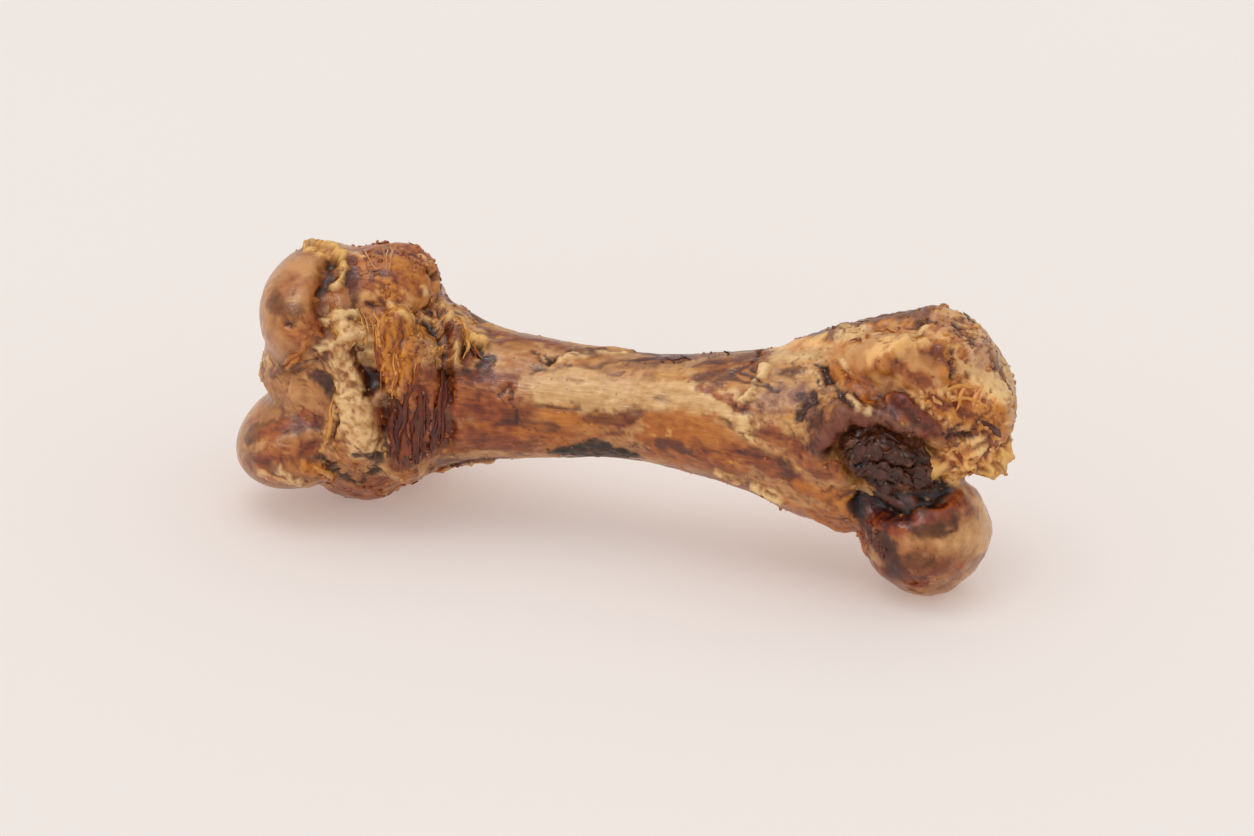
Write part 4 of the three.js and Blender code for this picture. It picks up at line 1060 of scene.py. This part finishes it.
def build_wad():
    low, high = [np.array(v, float) * 1000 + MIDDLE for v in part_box("meat_wad")]
    folds = MEAT_WAD
    P, N, Q, E = skin(folds, None, low - 4, high + 4, 0.45)
    warp = P + 1.2 * np.stack([noise(P * 0.35, 401), noise(P * 0.35, 403), noise(P * 0.35, 407)], -1)
    r = ridge(warp * np.array([0.16, 0.3, 0.5]), 4, 411)
    f = fbm(P * 0.5, 4, 413)
    big = ridge(warp * np.array([0.08, 0.12, 0.16]), 3, 419)
    relief = 2.4 * (big - 0.6) + 1.1 * (r - 0.62) + 0.4 * f
    M = P + N * relief[:, None]
    paint = Paint(len(P))
    paint.lay("wad", np.ones(len(P)))
    k = smooth(noise(P * 0.2, 417), 0.1, 0.4)
    paint.lay("mauve", 0.5 * k)
    # tone follows the folds: painted shade in their valleys, painted highlight on their crests, with some noise
    tone = np.clip(1.8 * (r - 0.62) + 2.4 * (big - 0.62) + 0.6 * f - 0.1, -1, 1)
    C = paint.C
    z = np.zeros(len(P))
    return make_object("wad_skin", M, Q, {
        "c_dark": mix_tone(C, tone - 0.7), "c_mid": mix_tone(C, tone), "c_light": mix_tone(C, tone + 0.7),
        "upright": z, "fibrous": z + 0.4, "rough": paint.rough, "smoothness": z + 0.3, "spongy": z}), M, Q


wad, WAD_P, WAD_Q = build_wad()
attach(wad, "root")
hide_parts("meat_wad")

# ---- raised scraps: strips, fibre bundles and crumbs --------------------------------
# Strips: tissue, half width, half thickness, lift in millimetres, and the path as
# parts of the bone's box. Bundles: tissue, a line the fibres start on, a line they
# end on, how many, and their radius.
RIBBONS = [
    ("gold", 0.5, 0.5, 1.9, "0.271,0.469,0.762 0.286,0.423,0.736 0.298,0.361,0.700 0.300,0.309,0.664"),
    ("chalk", 0.8, 0.5, 0.8, "0.860,0.332,0.923 0.870,0.364,0.934 0.881,0.403,0.939 0.886,0.453,0.946"),
    ("maroon", 0.8, 0.5, 0.5, "0.967,0.335,0.677 0.981,0.359,0.642 0.991,0.406,0.589"),
    ("gold", 0.6, 0.4, 0.9, "0.927,0.312,0.778 0.942,0.345,0.794 0.956,0.358,0.771"),
    ("gold", 0.5, 0.4, 1.1, "0.933,0.309,0.743 0.948,0.337,0.761 0.965,0.354,0.738"),
    ("sponge", 0.6, 0.4, 1.0, "0.941,0.311,0.714 0.944,0.330,0.761 0.949,0.360,0.798"),
    ("sponge", 0.5, 0.4, 1.0, "0.956,0.332,0.720 0.959,0.359,0.764 0.966,0.394,0.784"),
    ("fibre", 0.7, 0.6, 1.2, "0.092,0.121,0.632 0.114,0.063,0.705 0.128,0.060,0.751"),
    ("gold", 0.7, 0.5, 0.8, "0.154,0.102,0.535 0.158,0.087,0.487 0.155,0.078,0.425 0.145,0.074,0.350"),
    ("gold", 0.9, 0.5, 0.8, "0.131,0.045,0.275 0.142,0.090,0.241 0.146,0.163,0.185"),
    ("mound", 0.9, 0.5, 0.6, "0.258,0.398,0.165 0.279,0.380,0.196 0.288,0.384,0.204"),
    ("ballrust", 0.9, 0.6, 0.6, "0.897,0.117,0.102 0.912,0.114,0.106 0.927,0.110,0.130"),
]

BUNDLES = [
    ("fibre", "0.202,0.256,0.813 0.245,0.372,0.763", "0.221,0.140,0.570 0.257,0.156,0.594", 46, 0.32),
    ("strap", "0.232,0.139,0.567 0.287,0.271,0.666", "0.232,0.109,0.307 0.282,0.220,0.339", 34, 0.42),
    ("gristle", "0.149,0.163,0.827 0.196,0.294,0.844", "0.179,0.126,0.718 0.217,0.194,0.754", 8, 0.22),
    ("gold", "0.276,0.483,0.758 0.314,0.475,0.719", "0.298,0.321,0.675 0.340,0.344,0.658", 8, 0.2),
    ("mound", "0.142,0.495,0.976 0.225,0.606,0.949", "0.181,0.313,0.919 0.245,0.436,0.914", 8, 0.18),
    ("maroon", "0.535,0.508,0.695 0.636,0.548,0.733", "0.546,0.421,0.691 0.639,0.443,0.742", 6, 0.25),
    ("fibre", "0.792,0.429,0.866 0.860,0.497,0.950", "0.810,0.345,0.873 0.870,0.439,0.945", 10, 0.25),
]

WAD_FOLDS = [
    (1.5, 0.6, 1.1, "0.077,0.229,0.794 0.231,0.216,0.882 0.454,0.181,0.956 0.658,0.312,0.847"),
    (1.4, 0.6, 1.4, "0.112,0.170,0.548 0.320,0.072,0.712 0.543,0.035,0.736 0.786,0.034,0.632"),
    (1.5, 0.6, 1.2, "0.190,0.297,0.206 0.421,0.006,0.448 0.654,0.088,0.379 0.819,0.195,0.201"),
    (1.1, 0.6, 1.2, "0.742,0.052,0.514 0.855,0.215,0.442 0.917,0.287,0.222 0.741,0.265,0.084"),
    (1.0, 0.5, 1.0, "0.493,0.015,0.149 0.615,0.094,0.106"),
    (0.9, 0.5, 1.4, "0.357,0.099,0.864 0.413,0.039,0.657 0.396,0.042,0.378"),
    (1.0, 0.5, 1.2, "0.134,0.146,0.699 0.243,0.012,0.529"),
]


from mathutils import Vector
from mathutils.kdtree import KDTree


class Ground:
    """The nearest place on a finished skin, and its normal."""

    def __init__(self, P, Q):
        self.P = P
        self.N = mesh_normals(P, Q)
        self.tree = KDTree(len(P))
        for i, p in enumerate(P):
            self.tree.insert(p, i)
        self.tree.balance()

    def at(self, p):
        hits = self.tree.find_n(Vector(p), 7)
        w = np.array([1 / (h[2] + 0.3) for h in hits])
        w = w / w.sum()
        i = [h[1] for h in hits]
        n = (self.N[i] * w[:, None]).sum(0)
        return (self.P[i] * w[:, None]).sum(0), n / (np.linalg.norm(n) + 1e-9)


def curve_points(pts, n):
    """A smooth run of n points through a few."""
    pts = np.asarray(pts, float)
    if len(pts) == 2:
        pts = np.array([pts[0], pts.mean(0), pts[1]])
    seg = np.r_[0, np.cumsum(np.linalg.norm(np.diff(pts, axis=0), axis=1) + 1e-6)]
    s = np.linspace(0, seg[-1], n)
    T = np.gradient(pts, seg, axis=0)
    i = np.clip(np.searchsorted(seg, s, side="right") - 1, 0, len(pts) - 2)
    h = (seg[i + 1] - seg[i])[:, None]
    u = ((s - seg[i])[:, None]) / h
    return ((2 * u ** 3 - 3 * u ** 2 + 1) * pts[i] + (u ** 3 - 2 * u ** 2 + u) * h * T[i]
            + (-2 * u ** 3 + 3 * u ** 2) * pts[i + 1] + (u ** 3 - u ** 2) * h * T[i + 1])


class Heap:
    """Closed bodies gathered into one mesh, with their tissue."""

    def __init__(self):
        self.V, self.F, self.T, self.tone, self.n = [], [], [], [], 0

    def tube(self, path, normals, wide, thick, tissue, rng, sides=8, rag=0.25, shade=0.0, curl=0.0):
        m = len(path)
        tan = np.gradient(path, axis=0)
        tan /= np.linalg.norm(tan, axis=1, keepdims=True) + 1e-9
        nor = normals - (normals * tan).sum(1, keepdims=True) * tan
        nor /= np.linalg.norm(nor, axis=1, keepdims=True) + 1e-9
        side = np.cross(tan, nor)
        u = np.linspace(0, 1, m)
        taper = np.sqrt(np.clip(np.sin(np.pi * np.clip(u, 0.02, 0.98)), 0, 1))
        rings = []
        ph = rng.uniform(0, 50)
        for k in range(sides):
            a = 2 * math.pi * k / sides
            ca, sa = math.cos(a), math.sin(a)
            seedp = np.stack([u * m * 0.35 + ph, np.full(m, ca * 1.3), np.full(m, sa * 1.3)], -1)
            r = 1 + rag * 2 * noise(seedp, 77)
            lift = curl * wide * (ca ** 2) * np.sign(1)
            rings.append(path + side * (ca * wide * taper * r)[:, None] + nor * (sa * thick * taper * r + lift * taper)[:, None])
        R = np.stack(rings, 1).reshape(-1, 3)
        base = self.n
        V = np.concatenate([R, path[:1] - tan[:1] * 0.2 * thick, path[-1:] + tan[-1:] * 0.2 * thick])
        F = []
        for i in range(m - 1):
            for k in range(sides):
                a, b = i * sides + k, i * sides + (k + 1) % sides
                F += [(a, b, b + sides), (a, b + sides, a + sides)]
        e0, e1 = m * sides, m * sides + 1
        for k in range(sides):
            F.append((e0, (k + 1) % sides, k))
            F.append((e1, (m - 1) * sides + k, (m - 1) * sides + (k + 1) % sides))
        self.V.append(V)
        self.F.append(np.array(F) + base)
        self.T += [tissue] * len(V)
        self.tone.append(np.full(len(V), shade))
        self.n += len(V)

    def lump(self, at, normal, size, tissue, rng, shade=0.0):
        V, F = LUMP
        s = size * rng.uniform(0.65, 1.2, 3)
        q = V * s
        q = q * (1 + 0.45 * noise(V * 1.7 + rng.uniform(0, 60, 3), 91))[:, None]
        a, b = rng.uniform(0, 6.28), rng.uniform(-0.5, 0.5)
        ca, sa, cb, sb = math.cos(a), math.sin(a), math.cos(b), math.sin(b)
        q = q @ np.array([[ca, -sa, 0], [sa, ca, 0], [0, 0, 1]]) @ np.array([[1, 0, 0], [0, cb, -sb], [0, sb, cb]])
        self.V.append(q + at + normal * size * 0.1)
        self.F.append(F + self.n)
        self.T += [tissue] * len(V)
        self.tone.append(np.full(len(V), shade))
        self.n += len(V)

    def make(self, name, mat=None):
        P = np.concatenate(self.V)
        P[:, 2] = np.maximum(P[:, 2], 0.0)
        F = np.concatenate(self.F)
        tone = np.concatenate(self.tone) + 0.9 * fbm(P * 0.5, 3, 811) + 0.5 * noise(P * 1.6, 817)
        C = np.stack([PALETTE[t][0].ravel() if isinstance(t, str) else t for t in self.T])
        rough = np.array([PALETTE[t][2] if isinstance(t, str) else 0.42 for t in self.T])
        z = np.zeros(len(P))
        return make_object(name, P, F, {
            "c_dark": mix_tone(C, tone - 0.7), "c_mid": mix_tone(C, tone), "c_light": mix_tone(C, tone + 0.7),
            "upright": z, "fibrous": z + 0.3, "rough": rough, "smoothness": z, "spongy": z})


def ball_mesh():
    import bmesh
    bm = bmesh.new()
    bmesh.ops.create_icosphere(bm, subdivisions=2, radius=1.0)
    V = np.array([v.co[:] for v in bm.verts])
    F = np.array([[v.index for v in f.verts] for f in bm.faces])
    bm.free()
    return V, F


LUMP = ball_mesh()
ground = Ground(BONE_P, BONE_Q)
rng = np.random.default_rng(20)

strips = Heap()
for tissue, wide, thick, lift, text in RIBBONS:
    ctrl = place(text)
    length = np.linalg.norm(np.diff(ctrl, axis=0), axis=1).sum()
    m = max(9, int(length / 0.7))
    path = curve_points(ctrl, m)
    on = [ground.at(p) for p in path]
    base, nor = np.array([o[0] for o in on]), np.array([o[1] for o in on])
    for _ in range(3):
        nor[1:-1] = (nor[:-2] + nor[1:-1] + nor[2:]) / 3
        base[1:-1] = (base[:-2] + base[1:-1] + base[2:]) / 3
    nor /= np.linalg.norm(nor, axis=1, keepdims=True)
    s = np.linspace(0, 1, m)
    rise = lift * (0.35 + 0.65 * np.sin(np.pi * s)) + 0.35 * lift * noise(np.stack([s * m * 0.25, s * 0 + wide, s * 0 + lift], -1), 83)
    strips.tube(base + nor * (rise - thick * 0.45)[:, None], nor, wide, thick, tissue, rng, sides=10, rag=0.35)

strands = Heap()
for tissue, top, bottom, count, radius in BUNDLES:
    a, b = place(top), place(bottom)
    for i in range(count):
        u = (i + rng.uniform(0.1, 0.9)) / count
        v = np.clip(u + rng.normal(0, 0.10), 0, 1)
        p0 = a[0] + (a[1] - a[0]) * u
        p1 = b[0] + (b[1] - b[0]) * v
        t0, t1 = rng.uniform(0, 0.45), rng.uniform(0.6, 1.08)
        p0, p1 = p0 + (p1 - p0) * t0, p0 + (p1 - p0) * t1
        m = max(8, int(np.linalg.norm(p1 - p0) / 0.8))
        s = np.linspace(0, 1, m)
        path = p0 + (p1 - p0) * s[:, None]
        on = [ground.at(p) for p in path]
        base, nor = np.array([o[0] for o in on]), np.array([o[1] for o in on])
        for _ in range(2):
            base[1:-1] = (base[:-2] + base[1:-1] + base[2:]) / 3
            nor[1:-1] = (nor[:-2] + nor[1:-1] + nor[2:]) / 3
        lift = rng.uniform(0.0, 0.5) + (rng.uniform(0.6, 1.8) * s ** 3 if rng.uniform() < 0.3 else 0)
        sway = rng.normal(0, 0.5) * np.sin(np.pi * s * rng.uniform(1, 2))
        side = np.cross(nor, (p1 - p0) / (np.linalg.norm(p1 - p0) + 1e-9))
        other = {"fibre": ["fibre", "amber", "gold", "rust"], "strap": ["strap", "strap", "maroon", "maroon", "strap", "rust"],
                 "gristle": ["gristle", "chalk", "gold"], "gold": ["gold", "fibre", "maroon"],
                 "sponge": ["sponge", "gold", "fibre", "rust"], "mound": ["mound", "rust", "mound"],
                 "maroon": ["maroon"]}[tissue]
        kind = other[int(rng.integers(len(other)))]
        r = radius * rng.uniform(0.6, 1.5)
        strands.tube(base + nor * (lift + r * 0.1) [..., None] + side * sway[:, None] if np.ndim(lift) else
                     base + nor * (lift + r * 0.1) + side * sway[:, None], nor, r * rng.uniform(1.0, 2.2), r, kind, rng,
                     sides=6, rag=0.2, shade=rng.uniform(-0.35, 0.35))

crumbs = Heap()
phi_all = shaft_angle(BONE_P)
regions = [
    # tissues, where, how many, from and to size
    (["gold", "gristle", "fibre", "rust", "maroon"], (BONE_P[:, 0] > -80) & (BONE_P[:, 0] < -44) & (BONE_P[:, 1] < 6), 260, 0.3, 0.85),
    (["gold", "chalk", "fibre", "maroon", "mound"], (np.abs(BONE_P[:, 0] + 2) < 50), 150, 0.2, 0.5),
    (["gold", "sponge", "rust", "chalk"], (BONE_P[:, 0] > 78) & (BONE_P[:, 2] > 28), 240, 0.3, 0.9),
    (["gold", "mound", "rust", "maroon"], (BONE_P[:, 0] < -44) & (BONE_P[:, 1] > 0), 170, 0.3, 0.9),
    (["gold", "mound", "rust"], (BONE_P[:, 0] > 44) & (BONE_P[:, 0] < 84), 110, 0.25, 0.7),
    (["ballrust", "rust", "maroon"], (BONE_P[:, 0] > 66) & (BONE_P[:, 2] < 24), 40, 0.25, 0.6),
]
for kinds, where, count, s0, s1 in regions:
    ids = np.where(where & (noise(BONE_P * 0.14, 907) > -0.05) & (BONE_PAINT.G[:, 5] < 0.55))[0]
    if len(ids) == 0:
        continue
    for i in rng.choice(ids, min(count, len(ids)), replace=False):
        size = s0 + (s1 - s0) * rng.uniform() ** 2
        own = PALETTE[kinds[int(rng.integers(len(kinds)))]][0].ravel()
        crumbs.lump(BONE_P[i], ground.N[i], size, 0.72 * BONE_PAINT.C[i] + 0.28 * own, rng, rng.uniform(-0.2, 0.5))

# thin scraps of dried skin, each lifting at one end
flakes = Heap()
for where, count, l0, l1 in (((BONE_P[:, 0] > -84) & (BONE_P[:, 0] < -44), 150, 1.8, 4.2),
                             ((BONE_P[:, 0] > 60) & (BONE_P[:, 2] > 30), 120, 1.6, 4.0),
                             ((np.abs(BONE_P[:, 0]) < 60), 24, 1.2, 2.4),
                             ((BONE_P[:, 0] > 62) & (BONE_P[:, 2] < 26), 16, 1.4, 2.8)):
    ids = np.where(where & (noise(BONE_P * 0.12, 931) > -0.1) & (BONE_PAINT.G[:, 5] < 0.5) & (BONE_P[:, 2] > 5))[0]
    for i in rng.choice(ids, count, replace=False):
        n = ground.N[i]
        a = rng.normal(size=3)
        a -= n * (a @ n)
        a /= np.linalg.norm(a) + 1e-9
        length = rng.uniform(l0, l1)
        s = np.linspace(0, 1, 9)
        path = BONE_P[i] + a * (length * s)[:, None]
        on = [ground.at(p) for p in path]
        base, nor = np.array([o[0] for o in on]), np.array([o[1] for o in on])
        up = rng.uniform(0.1, 0.6)
        flakes.tube(base + nor * (up * s ** 2 - 0.05)[:, None], nor, length * rng.uniform(0.16, 0.34), rng.uniform(0.12, 0.22),
                    BONE_PAINT.C[i], rng, sides=8, rag=0.5, shade=rng.uniform(-0.1, 0.6), curl=rng.uniform(-0.3, 0.4))

wad_ground = Ground(WAD_P, WAD_Q)
folds = Heap()
WAD_LOW, WAD_HIGH = [np.array(v, float) * 1000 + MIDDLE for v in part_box("meat_wad")]
for wide, thick, lift, text in WAD_FOLDS:
    f = np.array([[float(v) for v in p.split(",")] for p in text.split()])
    ctrl = WAD_LOW + f * (WAD_HIGH - WAD_LOW)
    m = max(12, int(np.linalg.norm(np.diff(ctrl, axis=0), axis=1).sum() / 0.55))
    path = curve_points(ctrl, m)
    on = [wad_ground.at(p) for p in path]
    base, nor = np.array([o[0] for o in on]), np.array([o[1] for o in on])
    for _ in range(3):
        base[1:-1] = (base[:-2] + base[1:-1] + base[2:]) / 3
    s = np.linspace(0, 1, m)
    rise = lift * (0.5 + 0.5 * np.sin(np.pi * s)) + 0.5 * noise(np.stack([s * m * 0.22, s * 0 + wide, s * 0 + lift], -1), 87)
    folds.tube(base + nor * (0.6 * rise)[:, None], nor, 1.5 * wide, 0.8 * thick, "wad", rng, sides=14, rag=0.6, shade=-0.1, curl=0.4)

PIECES = []
for heap, name, slot in ((strips, "raised_strips", "dried_meat"), (strands, "loose_fibres", "dried_meat"),
                         (crumbs, "crumbs", "dried_meat"), (flakes, "lifted_scraps", "dried_meat"), (folds, "wad_folds", "dried_meat")):
    ob = heap.make(name)
    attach(ob, "root")
    PIECES.append(ob)

# ---- the finish --------------------------------------------------------------------
def tissue_material(name, sheen_rough=1.0, subsurface=0.06, bump=0.7, grain=1.0):
    mat = bpy.data.materials.new(name)
    mat.use_nodes = True
    nt = mat.node_tree
    nt.nodes.clear()
    L = nt.links.new

    def node(kind, **sets):
        nd = nt.nodes.new(kind)
        for k, v in sets.items():
            setattr(nd, k, v)
        return nd

    def attr(key, vector=False):
        nd = node("ShaderNodeAttribute", attribute_name=key)
        return nd.outputs["Color"] if vector else nd.outputs["Fac"]

    def maths(op, a, b=None, c=None, clamp=False):
        nd = node("ShaderNodeMath", operation=op, use_clamp=clamp)
        for i, v in enumerate((a, b, c)):
            if v is None:
                continue
            if isinstance(v, (int, float)):
                nd.inputs[i].default_value = v
            else:
                L(v, nd.inputs[i])
        return nd.outputs[0]

    def noise_at(vec, scale, detail=4.0, rough=0.55, distort=0.0):
        nd = node("ShaderNodeTexNoise")
        nd.inputs["Scale"].default_value = scale
        nd.inputs["Detail"].default_value = detail
        nd.inputs["Roughness"].default_value = rough
        nd.inputs["Distortion"].default_value = distort
        L(vec, nd.inputs["Vector"])
        return nd.outputs["Fac"]

    co = node("ShaderNodeTexCoord").outputs["Object"]

    def stretched(x, y, z):
        m = node("ShaderNodeMapping")
        m.inputs["Scale"].default_value = (x, y, z)
        L(co, m.inputs["Vector"])
        return m.outputs["Vector"]
    along = noise_at(stretched(0.09, 1, 1), 1300, 4, 0.6, 0.3)
    upward = noise_at(stretched(1, 1, 0.09), 1300, 4, 0.6, 0.3)
    mixn = node("ShaderNodeMix", data_type="FLOAT")
    L(attr("upright"), mixn.inputs["Factor"])
    L(along, mixn.inputs["A"])
    L(upward, mixn.inputs["B"])
    streak = mixn.outputs["Result"]
    fine = noise_at(co, 900, 6, 0.65)
    broad = noise_at(co, 190, 4, 0.6, 0.5)
    both = node("ShaderNodeMix", data_type="FLOAT")
    L(attr("fibrous"), both.inputs["Factor"])
    L(fine, both.inputs["A"])
    L(streak, both.inputs["B"])
    tex = both.outputs["Result"]
    # tone from 0, dark, to 1, light
    t = maths("ADD", maths("MULTIPLY", maths("SUBTRACT", tex, 0.5), 2.6 * grain), maths("MULTIPLY", maths("SUBTRACT", broad, 0.5), 1.7 * grain))
    calm = maths("SUBTRACT", 1.0, maths("MULTIPLY", attr("smoothness"), 0.5))
    t = maths("MULTIPLY", t, calm)
    darker = maths("MULTIPLY", t, -1.0, clamp=True)
    lighter = maths("MULTIPLY", t, 1.0, clamp=True)
    m1 = node("ShaderNodeMix", data_type="RGBA")
    L(darker, m1.inputs["Factor"])
    L(attr("c_mid", True), m1.inputs[6])
    L(attr("c_dark", True), m1.inputs[7])
    m2 = node("ShaderNodeMix", data_type="RGBA")
    L(lighter, m2.inputs["Factor"])
    L(m1.outputs[2], m2.inputs[6])
    L(attr("c_light", True), m2.inputs[7])
    col = m2.outputs[2]
    # small dark flecks and pores
    vor = node("ShaderNodeTexVoronoi")
    vor.inputs["Scale"].default_value = 420
    L(co, vor.inputs["Vector"])
    pore = maths("LESS_THAN", vor.outputs["Distance"], 0.13)
    pore = maths("MULTIPLY", pore, maths("GREATER_THAN", broad, 0.52))
    m3 = node("ShaderNodeMix", data_type="RGBA", blend_type="MULTIPLY")
    L(maths("MULTIPLY", pore, 0.55), m3.inputs["Factor"])
    L(col, m3.inputs[6])
    m3.inputs[7].default_value = (0.30, 0.20, 0.16, 1)
    col = m3.outputs[2]
    # height
    h = maths("ADD", maths("MULTIPLY", tex, 0.55), maths("MULTIPLY", fine, 0.35))
    h = maths("SUBTRACT", h, maths("MULTIPLY", pore, 0.25))
    h = maths("MULTIPLY", h, calm)
    bp = node("ShaderNodeBump")
    bp.inputs["Strength"].default_value = bump
    bp.inputs["Distance"].default_value = 0.0006
    L(h, bp.inputs["Height"])
    sh = node("ShaderNodeBsdfPrincipled")
    L(col, sh.inputs["Base Color"])
    r = maths("ADD", maths("MULTIPLY", attr("rough"), 0.82 * sheen_rough), maths("MULTIPLY", maths("SUBTRACT", fine, 0.5), 0.35))
    L(maths("ADD", r, maths("MULTIPLY", maths("SUBTRACT", broad, 0.5), 0.6), clamp=True), sh.inputs["Roughness"])
    L(bp.outputs["Normal"], sh.inputs["Normal"])
    sh.inputs["Subsurface Weight"].default_value = subsurface
    sh.inputs["Subsurface Radius"].default_value = (1.0, 0.45, 0.25)
    sh.inputs["Subsurface Scale"].default_value = 0.0012
    sh.inputs["Specular IOR Level"].default_value = 0.40
    sh.inputs["Coat Weight"].default_value = 0.38
    sh.inputs["Coat Roughness"].default_value = 0.13
    L(bp.outputs["Normal"], sh.inputs["Coat Normal"])
    out = node("ShaderNodeOutputMaterial")
    L(sh.outputs["BSDF"], out.inputs["Surface"])
    return mat


bone_mat = tissue_material("cooked_bone")
bone.data.materials.append(bone_mat)
scrap_mat = tissue_material("dried_scraps", sheen_rough=0.9, subsurface=0.10, bump=0.55, grain=0.8)
for ob in PIECES:
    ob.data.materials.append(scrap_mat)
wad_mat = tissue_material("dried_meat_wad", sheen_rough=1.1, subsurface=0.03, bump=0.6)
wad.data.materials.append(wad_mat)

# ---- floor, light and camera -------------------------------------------------------
def floor_material():
    mat = bpy.data.materials.new("pale_floor")
    mat.use_nodes = True
    nt = mat.node_tree
    sh = nt.nodes["Principled BSDF"]
    sh.inputs["Roughness"].default_value = 0.9
    sh.inputs["Specular IOR Level"].default_value = 0.05
    co = nt.nodes.new("ShaderNodeTexCoord")
    nz = nt.nodes.new("ShaderNodeTexNoise")
    nz.inputs["Scale"].default_value = 3.0
    nz.inputs["Detail"].default_value = 2.0
    ramp = nt.nodes.new("ShaderNodeValToRGB")
    ramp.color_ramp.elements[0].position = 0.3
    ramp.color_ramp.elements[1].position = 0.7
    ramp.color_ramp.elements[0].color = (0.918, 0.842, 0.800, 1)
    ramp.color_ramp.elements[1].color = (0.926, 0.850, 0.808, 1)
    nt.links.new(co.outputs["Object"], nz.inputs["Vector"])
    nt.links.new(nz.outputs["Fac"], ramp.inputs["Fac"])
    nt.links.new(ramp.outputs["Color"], sh.inputs["Base Color"])
    return mat


bpy.ops.mesh.primitive_plane_add(size=40, location=(0, 0, 0))
floor = bpy.context.object
floor.name = "floor"
floor.data.materials.append(floor_material())

scene = bpy.context.scene
scene.view_settings.view_transform = "Standard"
scene.view_settings.look = "None"
world = scene.world or bpy.data.worlds.new("studio")
scene.world = world
world.use_nodes = True
wn = world.node_tree
wn.nodes.clear()
bg = wn.nodes.new("ShaderNodeBackground")
bg.inputs["Color"].default_value = (0.99, 0.99, 0.975, 1)
bg.inputs["Strength"].default_value = 0.54
wo = wn.nodes.new("ShaderNodeOutputWorld")
wn.links.new(bg.outputs[0], wo.inputs[0])


def sun(name, towards, strength, angle, color=(1, 1, 1)):
    data = bpy.data.lights.new(name, "SUN")
    data.energy = strength
    data.angle = math.radians(angle)
    data.color = color
    ob = bpy.data.objects.new(name, data)
    scene.collection.objects.link(ob)
    v = -np.array(towards, float)
    v /= np.linalg.norm(v)
    from mathutils import Vector
    ob.rotation_euler = Vector(v).to_track_quat("-Z", "Y").to_euler()
    return ob


sun("key", (-0.22, -0.10, 1.0), 0.22, 40, (1, 0.97, 0.94))
sun("top", (0.1, 0.15, 1.0), 0.34, 80, (0.93, 0.99, 1.0)).data.use_shadow = False
glint = sun("glint", (-0.40, -0.62, 1.0), 0.95, 4)
glint.data.use_shadow = False

from mathutils import Vector
AZ, EL, DIST = math.radians(17.0), math.radians(25.0), 0.944
back = Vector((math.sin(AZ) * math.cos(EL), -math.cos(AZ) * math.cos(EL), math.sin(EL)))
right = Vector((math.cos(AZ), math.sin(AZ), 0.0))
aim = Vector(tuple((np.array([0.55, 0.0, 34.0]) - MIDDLE) / 1000.0))
cam_data = bpy.data.cameras.new("camera")
cam_data.lens = 100.0
cam_data.sensor_width = 36.0
cam_data.clip_start = 0.05
cam_data.clip_end = 60.0
camera = bpy.data.objects.new("camera", cam_data)
camera.location = aim + back * DIST
camera.rotation_euler = (-back).to_track_quat("-Z", "Y").to_euler()
scene.collection.objects.link(camera)
scene.camera = camera
